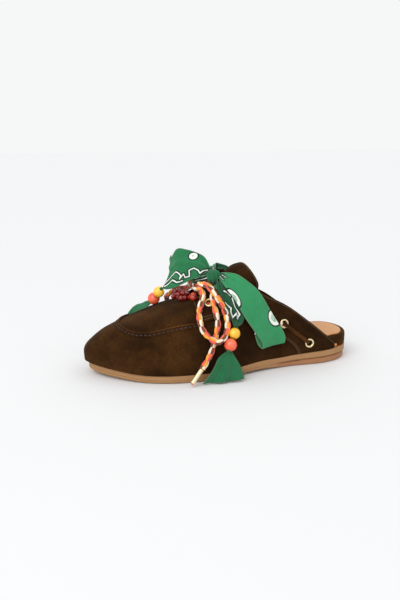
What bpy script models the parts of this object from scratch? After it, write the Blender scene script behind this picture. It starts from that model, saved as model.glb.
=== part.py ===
"""Loafer mule, left shoe: a suede moccasin upper with an open heel on a tan rubber sole, with a lace bow
and a knotted cotton bandana over its tongue.

Metres, +Z up. The toe points along -Y and the outer side of the left foot is +X. The origin is on the floor
under the middle of the heel.
"""

from math import acos, asin, cos, pi, sin

import bmesh
import bpy
from mathutils import Matrix, Vector

# Driving dimensions
LENGTH = 0.252
HEEL_BACK = 0.0335
BALL_WIDTH = 0.087
INSTEP = 0.100
HEEL_HEIGHT = 0.0132
FOREFOOT_SOLE = 0.0072
ARCH_RISE = 0.0022
TOE_SPRING = 0.0048
TOE_SWING = 0.009
GAP = 0.0003

# Sole edge
EDGE_RADIUS = 0.0018
HEEL_TIER_INSET = 0.0010
HEEL_GROOVE_DEPTH = 0.0012
HEEL_GROOVE_WIDTH = 0.0010
FOREFOOT_FLAT = (0.57, 0.76)
HEEL_FLAT_END = 0.27
TIER_SPLIT = 0.48
TIER_END = 0.34
TIER_FADE = 0.06
SWING_START = 0.40

# Footbed and insole
RIM_INSET = 0.0002
RIM_WIDTH = 0.0036
RIM_RADIUS = 0.0016
RECESS = 0.0010
HEEL_FOOTBED = 0.0115
FOREFOOT_FOOTBED = 0.0026
INSOLE_THICKNESS = 0.0016
REVEAL_END = 0.045
REVEAL_FADE = 0.030

# Upper
WALL = 0.0020
FEATHER_INSET = 0.0002
TOE_OVERHANG = 0.0042
BULGE = 0.0022
BULGE_HEIGHT = 0.024
BULGE_START = 0.35
BULGE_FULL = 0.62
THROAT_HALF = 0.0100
THROAT_FRONT = 0.625
WING_END = 0.088
PANEL_THICKNESS = 0.0012
PANEL_LIFT = 0.0006
UPPER_LENGTH = LENGTH - 2 * FEATHER_INSET + TOE_OVERHANG

# Tongue
TONGUE_THICKNESS = 0.0018

RING = 40


class Table:
    """Rows of numbers under named columns, read on a smooth curve through them by the first column."""

    def __init__(self, columns, *rows):
        self.places = [row[0] for row in rows]
        self.values = {name: [row[i] for row in rows] for i, name in enumerate(columns)}

    def slope(self, values, i):
        before = max(i - 1, 0)
        after = min(i + 1, len(values) - 1)
        return (values[after] - values[before]) / (self.places[after] - self.places[before])

    def at(self, column, place):
        values = self.values[column]
        place = min(max(place, self.places[0]), self.places[-1])
        i = max(k for k in range(len(values) - 1) if self.places[k] <= place)
        step = self.places[i + 1] - self.places[i]
        t = (place - self.places[i]) / step
        start = self.slope(values, i) * step
        end = self.slope(values, i + 1) * step
        rise = values[i + 1] - values[i]
        bend = 3 * rise - 2 * start - end
        return values[i] + t * (start + t * (bend + t * (start + end - 2 * rise)))


# Half widths of the sole as shares of BALL_WIDTH, before both ends are rounded off.
OUTLINE = Table(
    ("along", "outer", "inner"),
    (0.00, 0.713, 0.713),
    (0.12, 0.557, 0.548),
    (0.25, 0.418, 0.391),
    (0.35, 0.403, 0.320),
    (0.45, 0.452, 0.317),
    (0.55, 0.509, 0.375),
    (0.65, 0.550, 0.463),
    (0.75, 0.578, 0.551),
    (0.85, 0.570, 0.594),
    (0.92, 0.510, 0.586),
    (1.00, 0.450, 0.529),
)

# Sole thickness between FOREFOOT_SOLE at 0 and HEEL_HEIGHT at 1.
SOLE_TABLE = Table(
    ("along", "heel"),
    (0.00, 1.00),
    (0.10, 0.96),
    (0.18, 0.86),
    (0.25, 0.68),
    (0.31, 0.44),
    (0.37, 0.22),
    (0.44, 0.04),
    (0.52, 0.00),
    (0.82, 0.00),
    (0.92, 0.10),
    (1.00, 0.18),
)

# Footbed thickness between FOREFOOT_FOOTBED at 0 and HEEL_FOOTBED at 1.
FOOTBED_TABLE = Table(
    ("along", "heel"),
    (0.00, 1.00),
    (0.20, 0.95),
    (0.35, 0.75),
    (0.50, 0.20),
    (0.60, 0.00),
    (1.00, 0.00),
)

# Height of the upper's crown over its feather line, as a share of INSTEP before the toe is rounded off,
# and the power of the curve of each side: 2 is round and 4 is boxy.
CROWN = Table(
    ("along", "rise", "outer", "inner"),
    (0.08, 2.25, 2.00, 2.00),
    (0.19, 1.41, 2.00, 2.00),
    (0.28, 1.18, 1.95, 2.00),
    (0.37, 0.99, 1.85, 2.40),
    (0.43, 0.90, 1.95, 2.60),
    (0.51, 0.75, 2.10, 2.70),
    (0.57, 0.665, 2.15, 2.60),
    (0.63, 0.608, 2.25, 2.80),
    (0.70, 0.585, 2.35, 3.00),
    (0.80, 0.563, 2.35, 2.80),
    (0.90, 0.560, 2.30, 2.50),
    (1.00, 0.600, 2.30, 2.30),
)

# Height of the topline over the floor, as a share of INSTEP.
TOPLINE = Table(
    ("along", "height"),
    (0.080, 0.170),
    (0.120, 0.262),
    (0.200, 0.430),
    (0.281, 0.586),
    (0.371, 0.708),
    (0.440, 0.803),
    (0.500, 0.960),
    (0.560, 1.200),
)


def roundness(turn):
    return abs(sin(turn))


def along_of(turn):
    return (1 - cos(turn)) / 2


def turn_of(along):
    return acos(1 - 2 * min(max(along, 0), 1))


def place_of(y):
    """Share of the length at y, from the heel's back to the toe."""
    return min(max((HEEL_BACK - y) / LENGTH, 0), 1)


def turn_at(y):
    """The turn whose section of the upper stands at y."""
    return turn_of((HEEL_BACK - FEATHER_INSET - y) / UPPER_LENGTH)


def middle(along):
    return -TOE_SWING * (max(0, along - SWING_START) / (1 - SWING_START)) ** 2


def rim(turn, inset=0.0):
    """A point of the sole's outline in plan: turn 0 is the heel's back, pi the toe, past pi the inner side."""

    def on_edge(angle):
        along = along_of(angle)
        column = "outer" if sin(angle) >= 0 else "inner"
        half = OUTLINE.at(column, along) * BALL_WIDTH
        return Vector((middle(along) + half * sin(angle), HEEL_BACK - LENGTH * along))

    step = 0.01
    tangent = (on_edge(turn + step) - on_edge(turn - step)).normalized()
    return on_edge(turn) - Vector((-tangent.y, tangent.x)) * inset


def floor_line(along):
    """Height of the sole's underside: flat at heel and ball, raised at the arch and the toe."""
    ball_start, ball_end = FOREFOOT_FLAT
    if along <= HEEL_FLAT_END or ball_start <= along <= ball_end:
        return 0.0
    if along < ball_start:
        share = (along - HEEL_FLAT_END) / (ball_start - HEEL_FLAT_END)
        return ARCH_RISE * sin(pi * share) ** 2
    return TOE_SPRING * ((along - ball_end) / (1 - ball_end)) ** 2


def sole_top(along):
    thickness = FOREFOOT_SOLE + (HEEL_HEIGHT - FOREFOOT_SOLE) * SOLE_TABLE.at("heel", along)
    return floor_line(along) + thickness


def footbed_top(along):
    thickness = FOREFOOT_FOOTBED + (HEEL_FOOTBED - FOREFOOT_FOOTBED) * FOOTBED_TABLE.at("heel", along)
    return sole_top(along) + GAP + thickness


def ring_of(inset, height):
    """A loop of points round the outline. Inset and height are functions of the place along the shoe."""
    points = []
    for i in range(RING):
        turn = 2 * pi * i / RING
        flat = rim(turn, inset(along_of(turn)))
        points.append(Vector((flat.x, flat.y, height(place_of(flat.y)))))
    return points


def new_object(name, mesh, material):
    piece = bpy.data.objects.new(name, mesh)
    piece.data.materials.append(material)
    parts.objects.link(piece)
    return piece


def stacked(name, rings, material):
    """A closed solid through a stack of outline rings, its ends closed by strips across the shoe."""
    mesh = bpy.data.meshes.new(name)
    work = bmesh.new()
    loops = [[work.verts.new(point) for point in ring] for ring in rings]
    for below, above in zip(loops, loops[1:]):
        for i in range(RING):
            j = (i + 1) % RING
            work.faces.new((below[i], above[i], above[j], below[j]))
    for loop in (loops[0], loops[-1]):
        for i in range(RING // 2):
            left, right = loop[-i], loop[-i - 1]
            corners = dict.fromkeys((loop[i], loop[i + 1], right, left))
            work.faces.new(tuple(corners))
    bmesh.ops.recalc_face_normals(work, faces=work.faces)
    work.to_mesh(mesh)
    work.free()
    return new_object(name, mesh, material)


def paint(name, colour, roughness, metallic=0.0):
    material = bpy.data.materials.new(name)
    material.use_nodes = True
    shader = material.node_tree.nodes["Principled BSDF"]
    shader.inputs["Base Color"].default_value = (*colour, 1)
    shader.inputs["Roughness"].default_value = roughness
    shader.inputs["Metallic"].default_value = metallic
    return material


def last_point(turn, arch):
    """A point of the upper's outer face: arch 0 is the outer feather line, pi/2 the crown, pi the inner one."""
    along = along_of(turn)
    side = 1 if arch <= pi / 2 else -1
    column = "outer" if side > 0 else "inner"
    power = CROWN.at(column, along)
    reach = (OUTLINE.at(column, along) * BALL_WIDTH - FEATHER_INSET) * roundness(turn)
    rise = CROWN.at("rise", along) * INSTEP * roundness(turn)
    across = abs(cos(arch)) ** (2 / power)
    height = abs(sin(arch)) ** (2 / power)
    y = HEEL_BACK - FEATHER_INSET - UPPER_LENGTH * along
    point = Vector((middle(along) + side * reach * across, y, sole_top(along) + GAP + rise * height))
    level = min(rise * height / BULGE_HEIGHT, 1)
    swell = BULGE * min(max((along - BULGE_START) / (BULGE_FULL - BULGE_START), 0), 1)
    outward = rim(side * turn, -1) - rim(side * turn)
    return point + outward.to_3d() * swell * sin(pi * level) ** 2


def last_normal(turn, arch):
    step = 0.012
    turn = min(turn, pi - 3 * step)
    forward = last_point(turn + step, arch) - last_point(turn - step, arch)
    over = last_point(turn, min(arch + step, pi)) - last_point(turn, max(arch - step, 0))
    return over.cross(forward).normalized()


def on_last(turn, arch, lift):
    return last_point(turn, arch) + last_normal(turn, arch) * lift


def arch_at_height(turn, height, side):
    """The arch angle of the outer (1) or inner (-1) side at a height over the floor."""
    along = along_of(turn)
    power = CROWN.at("outer" if side > 0 else "inner", along)
    rise = CROWN.at("rise", along) * INSTEP * roundness(turn)
    share = min(max((height - sole_top(along) - GAP) / rise, 0), 1)
    arch = asin(share ** (power / 2))
    return arch if side > 0 else pi - arch


def arch_at_width(turn, x):
    """The arch angle where the last lies at x."""
    along = along_of(turn)
    side = 1 if x >= middle(along) else -1
    column = "outer" if side > 0 else "inner"
    power = CROWN.at(column, along)
    reach = (OUTLINE.at(column, along) * BALL_WIDTH - FEATHER_INSET) * roundness(turn)
    arch = acos(min(abs(x - middle(along)) / reach, 1) ** (power / 2))
    return arch if side > 0 else pi - arch


def even_arches(turn, start, end, count):
    """Arch angles from start to end, evenly spaced along the section."""
    fine = 60
    angles = [start + (end - start) * i / fine for i in range(fine + 1)]
    points = [last_point(turn, angle) for angle in angles]
    lengths = [0.0]
    for a, b in zip(points, points[1:]):
        lengths.append(lengths[-1] + (b - a).length)
    chosen = []
    for k in range(count + 1):
        target = lengths[-1] * k / count
        i = min(max(n for n in range(fine + 1) if lengths[n] <= target + 1e-12), fine - 1)
        share = (target - lengths[i]) / max(lengths[i + 1] - lengths[i], 1e-9)
        chosen.append(angles[i] + (angles[i + 1] - angles[i]) * share)
    return chosen


def opening_edge(turn, side):
    """The arch angle of the upper's free edge: the throat's side, then the topline."""
    along = along_of(turn)
    throat = arch_at_width(turn, side * THROAT_HALF)
    topline = arch_at_height(turn, TOPLINE.at("height", along) * INSTEP, side)
    return min(throat, topline) if side > 0 else max(throat, topline)


def grid_object(name, rows, material, skip=None):
    """An open surface from rows of points, with its faces out. Skip tells which cells stay open."""
    mesh = bpy.data.meshes.new(name)
    work = bmesh.new()
    grid = [[work.verts.new(point) for point in row] for row in rows]
    for i in range(len(grid) - 1):
        for j in range(len(grid[0]) - 1):
            if skip is None or not skip(i, j):
                work.faces.new((grid[i][j], grid[i + 1][j], grid[i + 1][j + 1], grid[i][j + 1]))
    bmesh.ops.remove_doubles(work, verts=work.verts, dist=1e-6)
    bmesh.ops.delete(work, geom=[v for v in work.verts if not v.link_faces], context="VERTS")
    work.to_mesh(mesh)
    work.free()
    return new_object(name, mesh, material)


def solidify(piece, thickness, outward):
    wall = piece.modifiers.new("wall", "SOLIDIFY")
    wall.thickness = thickness
    wall.offset = 1 if outward else -1
    wall.use_rim = True


def build_sole():
    def heel_only(along):
        return min(max((TIER_END - along) / TIER_FADE, 0), 1)

    def share_up(share, above=0.0):
        return lambda along: floor_line(along) + share * (sole_top(along) - floor_line(along)) + above

    def inset(amount, tier=0.0):
        return lambda along: amount + tier * heel_only(along)

    tier = HEEL_TIER_INSET
    groove = HEEL_TIER_INSET + HEEL_GROOVE_DEPTH
    half = HEEL_GROOVE_WIDTH / 2
    rings = [
        ring_of(inset(EDGE_RADIUS, tier), floor_line),
        ring_of(inset(EDGE_RADIUS * 0.3, tier), lambda along: floor_line(along) + EDGE_RADIUS * 0.3),
        ring_of(inset(0, tier), lambda along: floor_line(along) + EDGE_RADIUS),
        ring_of(inset(0, tier), share_up(TIER_SPLIT, -half)),
        ring_of(inset(0, groove), share_up(TIER_SPLIT, -half / 2)),
        ring_of(inset(0, groove), share_up(TIER_SPLIT, half / 2)),
        ring_of(inset(0), share_up(TIER_SPLIT, half)),
        ring_of(inset(0), lambda along: sole_top(along) - EDGE_RADIUS * 0.6),
        ring_of(inset(EDGE_RADIUS * 0.6), sole_top),
    ]
    return stacked("outsole", rings, SOLE_RUBBER)


def footbed_inset(along):
    """The footbed shows past the wings at the heel and lies inside the upper's wall in front of them."""
    inside = FEATHER_INSET + WALL + 3 * GAP
    share = min(max((along - REVEAL_END) / REVEAL_FADE, 0), 1)
    return RIM_INSET + (inside - RIM_INSET) * share


def build_footbed():
    def inset(more):
        return lambda along: footbed_inset(along) + more

    def below_top(depth):
        return lambda along: footbed_top(along) - depth

    rings = [
        ring_of(inset(0), lambda along: sole_top(along) + GAP),
        ring_of(inset(0), below_top(RIM_RADIUS)),
        ring_of(inset(RIM_RADIUS * 0.3), below_top(RIM_RADIUS * 0.3)),
        ring_of(inset(RIM_RADIUS), below_top(0)),
        ring_of(inset(RIM_WIDTH - GAP), below_top(0)),
        ring_of(inset(RIM_WIDTH), below_top(RECESS)),
    ]
    return stacked("footbed", rings, SUEDE)


def build_insole():
    def inset(more):
        return lambda along: footbed_inset(along) + RIM_WIDTH + 2 * GAP + more

    def above_recess(height):
        return lambda along: footbed_top(along) - RECESS + GAP + height

    soft = INSOLE_THICKNESS * 0.4
    rings = [
        ring_of(inset(0), above_recess(0)),
        ring_of(inset(0), above_recess(INSOLE_THICKNESS - soft)),
        ring_of(inset(soft), above_recess(INSOLE_THICKNESS)),
    ]
    return stacked("insole", rings, INSOLE_LEATHER)


FRONT_ROWS = 13
REAR_ROWS = 14
WING_COLUMNS = 6
CROWN_COLUMNS = 6


def upper_turns():
    """The turns of the upper's rows, from the toe to the ends of its wings. Panels on it share them."""
    throat = turn_of(THROAT_FRONT)
    end = turn_of(WING_END)
    turns = [pi + (throat - pi) * i / FRONT_ROWS for i in range(FRONT_ROWS)]
    return turns + [throat + (end - throat) * i / REAR_ROWS for i in range(REAR_ROWS + 1)]


def build_upper():
    throat = turn_of(THROAT_FRONT)
    turns = upper_turns()
    throat_share = THROAT_HALF / (last_point(throat, 0).x - middle(THROAT_FRONT))
    rows = []
    for turn in turns:
        if turn >= throat:
            centre = middle(along_of(turn))
            reach_out = last_point(turn, 0).x - centre
            reach_in = centre - last_point(turn, pi).x
            outer = arch_at_width(turn, centre + throat_share * max(reach_out, 1e-6))
            inner = arch_at_width(turn, centre - throat_share * max(reach_in, 1e-6))
        else:
            outer = opening_edge(turn, 1)
            inner = opening_edge(turn, -1)
        arches = even_arches(turn, 0, outer, WING_COLUMNS)
        arches += even_arches(turn, outer, inner, CROWN_COLUMNS)[1:]
        arches += even_arches(turn, inner, pi, WING_COLUMNS)[1:]
        rows.append([last_point(turn, arch) for arch in arches])
    last_crown = WING_COLUMNS + CROWN_COLUMNS
    upper = grid_object(
        "upper", rows, SUEDE, skip=lambda i, j: i >= FRONT_ROWS and WING_COLUMNS <= j < last_crown
    )
    solidify(upper, WALL, outward=False)
    return upper


# The tongue's sections from its front end, under the vamp, to its tip: the radius of its bend and the width
# from its middle to its edge along the bend, and how far it dips below the crown, as shares of BALL_WIDTH.
TONGUE = Table(
    ("share", "radius", "half", "drop"),
    (0.00, 0.247, 0.172, 0.000),
    (0.25, 0.236, 0.230, 0.000),
    (0.55, 0.218, 0.310, 0.000),
    (0.85, 0.202, 0.394, 0.012),
    (1.00, 0.197, 0.418, 0.028),
)
TONGUE_FRONT = 0.6775
TONGUE_TIP = 0.4234
TONGUE_LEAN = 0.0013
TONGUE_TUCK = 0.13
TONGUE_CORNER = 0.10
TONGUE_ROWS = 8
TONGUE_COLUMNS = 12


def tongue_point(share, across):
    """A point of the tongue's outer face. Across runs from -1, the inner edge, to 1, the outer one."""
    radius = TONGUE.at("radius", share) * BALL_WIDTH
    reach = across * TONGUE.at("half", share) * BALL_WIDTH
    bend = min(abs(reach) / radius, pi / 2)
    straight = max(abs(reach) - radius * pi / 2, 0)
    turn = turn_of(TONGUE_FRONT + (TONGUE_TIP - TONGUE_FRONT) * share)
    up = last_normal(turn, pi / 2)
    up = Vector((0, up.y, up.z)).normalized()
    crown = on_last(turn, pi / 2, -WALL - 2 * GAP)
    side = 1 if across >= 0 else -1
    x = side * (radius * sin(bend) - TONGUE_TUCK * straight) + TONGUE_LEAN * share
    drop = TONGUE.at("drop", share) * BALL_WIDTH
    return crown - up * (radius * (1 - cos(bend)) + straight + drop) + Vector((x, 0, 0))


def build_tongue():
    rows = []
    for i in range(TONGUE_ROWS + 1):
        share = i / TONGUE_ROWS
        row = []
        for j in range(TONGUE_COLUMNS + 1):
            across = 1 - 2 * j / TONGUE_COLUMNS
            shorter = TONGUE_CORNER * abs(across) ** 6 * share
            row.append(tongue_point(share - shorter, across))
        rows.append(row)
    tongue = grid_object("tongue", rows, SUEDE)
    solidify(tongue, TONGUE_THICKNESS, outward=False)
    return tongue


EDGE_MARGIN = 0.025
LEAST_ARCH = 0.04
FACING_ROWS = slice(FRONT_ROWS, None)
PANEL_ROWS = slice(FRONT_ROWS + 4, None)

# Lower edge of the eyelet facing and front edge of the back panel, as heights in shares of INSTEP.
FACING_EDGE = Table(
    ("along", "height"),
    (0.365, 0.720),
    (0.420, 0.640),
    (0.480, 0.585),
    (0.540, 0.548),
    (0.600, 0.515),
    (0.640, 0.500),
)
PANEL_EDGE = Table(
    ("along", "height"),
    (0.240, 0.100),
    (0.262, 0.200),
    (0.303, 0.290),
    (0.360, 0.410),
    (0.440, 0.560),
    (0.470, 0.610),
)


def skin_panel(name, side, rows, columns, lower, upper):
    """A leather panel that lies on the upper between two edges, given as arch angles at each row's turn."""
    grid = []
    for turn in upper_turns()[rows]:
        low, high = lower(turn), upper(turn)
        if side * (high - low) > LEAST_ARCH:
            edges = (low, high) if side > 0 else (high, low)
            grid.append([on_last(turn, arch, PANEL_LIFT) for arch in even_arches(turn, *edges, columns)])
    panel = grid_object(name, grid, SUEDE)
    solidify(panel, PANEL_THICKNESS, outward=True)
    return panel


def facing_low(turn, side, below=0.0):
    height = FACING_EDGE.at("height", along_of(turn)) * INSTEP - below
    return arch_at_height(turn, height, side)


def build_facing(name, side):
    def lower(turn):
        return facing_low(turn, side)

    def upper(turn):
        return opening_edge(turn, side) - side * EDGE_MARGIN

    return skin_panel(name, side, FACING_ROWS, 4, lower, upper)


def build_back_panel(name, side):
    def lower(turn):
        height = PANEL_EDGE.at("height", along_of(turn)) * INSTEP
        return arch_at_height(turn, height, side) + side * EDGE_MARGIN

    def upper(turn):
        facing = facing_low(turn, side, below=PANEL_THICKNESS)
        edge = opening_edge(turn, side) - side * EDGE_MARGIN
        return min(facing, edge) if side > 0 else max(facing, edge)

    return skin_panel(name, side, PANEL_ROWS, 5, lower, upper)


# The raised moccasin seam, from the outer facing round the toe to the inner one: places across the shoe as
# shares of BALL_WIDTH and along it as shares of LENGTH.
APRON_SEAM = Table(
    ("share", "across", "along"),
    (0.00, 0.380, 0.645),
    (0.13, 0.350, 0.735),
    (0.26, 0.290, 0.812),
    (0.38, 0.175, 0.868),
    (0.50, 0.000, 0.896),
    (0.62, -0.190, 0.882),
    (0.74, -0.325, 0.843),
    (0.87, -0.390, 0.775),
    (1.00, -0.410, 0.650),
)
SEAM_STEPS = 38
SEAM_HALF = 0.0015
SEAM_HEIGHT = 0.0022


def build_apron_seam():
    def path(share):
        turn = turn_at(HEEL_BACK - LENGTH * APRON_SEAM.at("along", share))
        arch = arch_at_width(turn, APRON_SEAM.at("across", share) * BALL_WIDTH)
        return last_point(turn, arch), last_normal(turn, arch)

    mesh = bpy.data.meshes.new("apron_seam")
    work = bmesh.new()
    profile = ((1.0, 0.0), (0.85, 0.6), (0.0, 1.0), (-0.85, 0.6), (-1.0, 0.0))
    loops = []
    for i in range(SEAM_STEPS + 1):
        share = i / SEAM_STEPS
        point, normal = path(share)
        ahead = path(min(share + 0.01, 1))[0] - path(max(share - 0.01, 0))[0]
        aside = normal.cross(ahead).normalized()
        loop = []
        for over, up in profile:
            lift = GAP * 1.5 + up * SEAM_HEIGHT
            loop.append(work.verts.new(point + aside * over * SEAM_HALF + normal * lift))
        loops.append(loop)
    for before, after in zip(loops, loops[1:]):
        for j in range(len(profile)):
            k = (j + 1) % len(profile)
            work.faces.new((before[j], before[k], after[k], after[j]))
    work.faces.new(loops[0][::-1])
    work.faces.new(loops[-1])
    bmesh.ops.recalc_face_normals(work, faces=work.faces)
    work.to_mesh(mesh)
    work.free()
    return new_object("apron_seam", mesh, SUEDE)


# Eyelets: where each sits on its side, along the upper and in height as a share of INSTEP, and whether it
# is on the facing or on the back panel.
EYELET_OUTER = 0.0044
EYELET_INNER = 0.0028
EYELET_LIP = 0.0009
BARREL_WALL = 0.0005
BARREL_DEPTH = 0.0046
BORE_LENGTH = 0.012
EYELETS = (
    ("eyelet_lower", 0.5722, 0.649, True),
    ("eyelet_upper", 0.5192, 0.755, True),
    ("eyelet_strap_front", 0.3022, 0.430, False),
    ("eyelet_strap_back", 0.2005, 0.225, False),
)


def seat(along, height, side):
    """The point and outward normal on the last at a place seen from the side."""
    turn = turn_of(along)
    arch = arch_at_height(turn, height * INSTEP, side)
    return last_point(turn, arch), last_normal(turn, arch)


def turned(name, profile, material, segments=12):
    """A closed ring turned about Z from (radius, height) corners that run down its outer side."""
    mesh = bpy.data.meshes.new(name)
    work = bmesh.new()
    corners = [work.verts.new((radius, 0, height)) for radius, height in profile]
    for a, b in zip(corners, corners[1:] + corners[:1]):
        work.edges.new((a, b))
    work.to_mesh(mesh)
    work.free()
    piece = new_object(name, mesh, material)
    screw = piece.modifiers.new("turn", "SCREW")
    screw.steps = screw.render_steps = segments
    screw.use_merge_vertices = True
    screw.merge_threshold = 0.00001
    return piece


def facing_z(normal):
    return normal.to_track_quat("Z", "Y").to_matrix().to_4x4()


def build_eyelets():
    top = PANEL_LIFT + PANEL_THICKNESS + 2 * GAP
    barrel = EYELET_INNER + BARREL_WALL
    profile = (
        (EYELET_INNER, EYELET_LIP * 0.6),
        ((EYELET_INNER + EYELET_OUTER) / 2, EYELET_LIP),
        (EYELET_OUTER, 0.0),
        (barrel, 0.0),
        (barrel, -BARREL_DEPTH + top),
        (EYELET_INNER, -BARREL_DEPTH + top),
    )
    for side, word in ((1, "outer"), (-1, "inner")):
        for name, along, height, on_facing in EYELETS:
            point, normal = seat(along, height, side)
            place = Matrix.Translation(point + normal * top) @ facing_z(normal)
            eyelet = turned(f"{name}_{word}", profile, BRASS)
            eyelet.matrix_world = place
            panel = FACINGS[side] if on_facing else BACK_PANELS[side]
            bore = bmesh.new()
            bmesh.ops.create_cone(
                bore, cap_ends=True, segments=12, radius1=barrel + GAP, radius2=barrel + GAP, depth=BORE_LENGTH
            )
            cutter_mesh = bpy.data.meshes.new(f"bore_{name}_{word}")
            bore.to_mesh(cutter_mesh)
            bore.free()
            cutter = bpy.data.objects.new(f"bore_{name}_{word}", cutter_mesh)
            cutters.objects.link(cutter)
            cutter.hide_render = True
            cutter.display_type = "WIRE"
            cutter.matrix_world = place
            for cut in (panel, UPPER):
                hole = cut.modifiers.new(f"{name}_{word}", "BOOLEAN")
                hole.operation = "DIFFERENCE"
                hole.object = cutter


# Laces, beads, thongs and bandana. Their tables give places off the last: along it, over it from the outer
# feather line at 0 to the inner one at 1, and lifts and drops as shares of STAND_OFF, which doesn't grow with
# the last, so that they lie on it as closely at any size.
STAND_OFF = 0.100
LACE_RADIUS = 0.0027
AGLET_RADIUS = 0.0016
CORD_SPACING = 0.0085
CLOTH = 0.0010
THONG_WIDTH = 0.0036
THONG_THICKNESS = 0.0013
YELLOW_RADIUS = 0.0051
CORAL_RADIUS = 0.0057
RED_RADIUS = 0.0032
BEAD_BORE = 0.30


def route(columns, *rows):
    """A Table whose rows are evenly spaced stops, 0, 1, 2 and so on."""
    return Table(("stop", *columns), *((i, *row) for i, row in enumerate(rows)))


CORD_COLUMNS = ("along", "over", "lift")
LACE_BAR = route(
    CORD_COLUMNS,
    (0.583, 0.458, 0.009),
    (0.583, 0.500, 0.009),
    (0.583, 0.537, 0.009),
)
LACE_LOOP = route(
    CORD_COLUMNS,
    (0.592, 0.455, 0.078),
    (0.581, 0.420, 0.088),
    (0.582, 0.380, 0.080),
    (0.600, 0.341, 0.060),
    (0.618, 0.284, 0.053),
    (0.621, 0.227, 0.050),
    (0.612, 0.180, 0.062),
    (0.587, 0.134, 0.100),
    (0.558, 0.133, 0.087),
    (0.537, 0.157, 0.070),
    (0.528, 0.210, 0.060),
    (0.536, 0.267, 0.072),
    (0.547, 0.327, 0.123),
    (0.558, 0.390, 0.124),
    (0.575, 0.450, 0.106),
)
LACE_END = route(
    CORD_COLUMNS,
    (0.566, 0.471, 0.070),
    (0.552, 0.440, 0.060),
    (0.545, 0.405, 0.057),
    (0.552, 0.363, 0.062),
    (0.560, 0.310, 0.063),
    (0.561, 0.250, 0.052),
    (0.562, 0.192, 0.040),
    (0.578, 0.144, 0.036),
    (0.592, 0.095, 0.036),
    (0.609, 0.066, 0.040),
    (0.633, 0.037, 0.060),
)
LACE_END_INNER = route(
    CORD_COLUMNS,
    (0.613, 0.506, 0.080),
    (0.630, 0.520, 0.087),
    (0.650, 0.540, 0.082),
    (0.668, 0.562, 0.062),
    (0.678, 0.605, 0.040),
    (0.675, 0.680, 0.045),
    (0.665, 0.775, 0.063),
    (0.655, 0.865, 0.058),
    (0.648, 0.925, 0.043),
    (0.648, 0.963, 0.060),
)
# The tips of the aglets, with a drop below the place off the last.
AGLET_TIPS = {"outer": (0.668, 0.002, 0.097, 0.040), "inner": (0.668, 0.998, 0.097, 0.040)}

BAND_COLUMNS = ("low_along", "low_over", "low_lift", "top_along", "top_over", "top_lift", "drop")
BANDANA_BAND = route(
    BAND_COLUMNS,
    (0.535, 0.374, 0.046, 0.505, 0.374, 0.046, 0),
    (0.535, 0.410, 0.039, 0.505, 0.410, 0.039, 0),
    (0.537, 0.455, 0.012, 0.507, 0.455, 0.012, 0),
    (0.538, 0.500, 0.004, 0.508, 0.500, 0.004, 0),
    (0.537, 0.545, 0.012, 0.507, 0.545, 0.012, 0),
    (0.535, 0.590, 0.039, 0.505, 0.590, 0.039, 0),
    (0.535, 0.626, 0.046, 0.505, 0.626, 0.046, 0),
)
# The front of the outer loop, from the knot down; then the fold at its foot and its way back up behind.
LOOP_FRONT = (
    (0.505, 0.323, 0.075, 0.464, 0.372, 0.070, 0),
    (0.485, 0.235, 0.070, 0.434, 0.299, 0.060, 0),
    (0.468, 0.178, 0.068, 0.401, 0.238, 0.060, 0),
    (0.448, 0.137, 0.066, 0.371, 0.182, 0.060, 0),
    (0.429, 0.105, 0.062, 0.341, 0.132, 0.060, 0),
    (0.404, 0.072, 0.056, 0.312, 0.082, 0.058, 0),
)
LOOP_BACK = (
    (0.393, 0.056, 0.042, 0.312, 0.056, 0.042, 0),
    (0.408, 0.066, 0.028, 0.326, 0.066, 0.030, 0),
    (0.430, 0.112, 0.032, 0.362, 0.130, 0.034, 0),
    (0.442, 0.164, 0.037, 0.404, 0.186, 0.037, 0),
    (0.458, 0.230, 0.038, 0.432, 0.252, 0.038, 0),
    (0.478, 0.316, 0.042, 0.457, 0.327, 0.042, 0),
    (0.492, 0.383, 0.056, 0.481, 0.396, 0.056, 0),
)
BANDANA_LOOPS = {
    "outer": route(BAND_COLUMNS, (0.512, 0.406, 0.092, 0.496, 0.427, 0.092, 0), *LOOP_FRONT, *LOOP_BACK),
    "inner": route(
        BAND_COLUMNS,
        (0.520, 0.530, 0.104, 0.505, 0.530, 0.112, 0),
        (0.510, 0.425, 0.094, 0.483, 0.445, 0.100, 0),
        *LOOP_FRONT,
        *LOOP_BACK,
    ),
}
BANDANA_TAIL = route(
    BAND_COLUMNS,
    (0.518, 0.402, 0.071, 0.502, 0.395, 0.070, 0),
    (0.518, 0.355, 0.059, 0.491, 0.330, 0.055, 0),
    (0.519, 0.290, 0.043, 0.479, 0.262, 0.048, 0),
    (0.515, 0.228, 0.043, 0.464, 0.200, 0.048, 0),
    (0.512, 0.188, 0.048, 0.468, 0.164, 0.046, 0),
    (0.510, 0.161, 0.066, 0.495, 0.156, 0.064, 0),
)
BANDANA_FAN = route(
    BAND_COLUMNS,
    (0.544, 0.0760, 0.064, 0.530, 0.0730, 0.068, 0),
    (0.576, 0.062, 0.058, 0.521, 0.053, 0.073, 0),
    (0.594, 0.040, 0.065, 0.507, 0.028, 0.092, 0),
    (0.615, 0.011, 0.087, 0.498, 0.002, 0.112, 0.005),
    (0.631, 0.002, 0.070, 0.496, 0.002, 0.130, 0.064),
)
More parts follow.
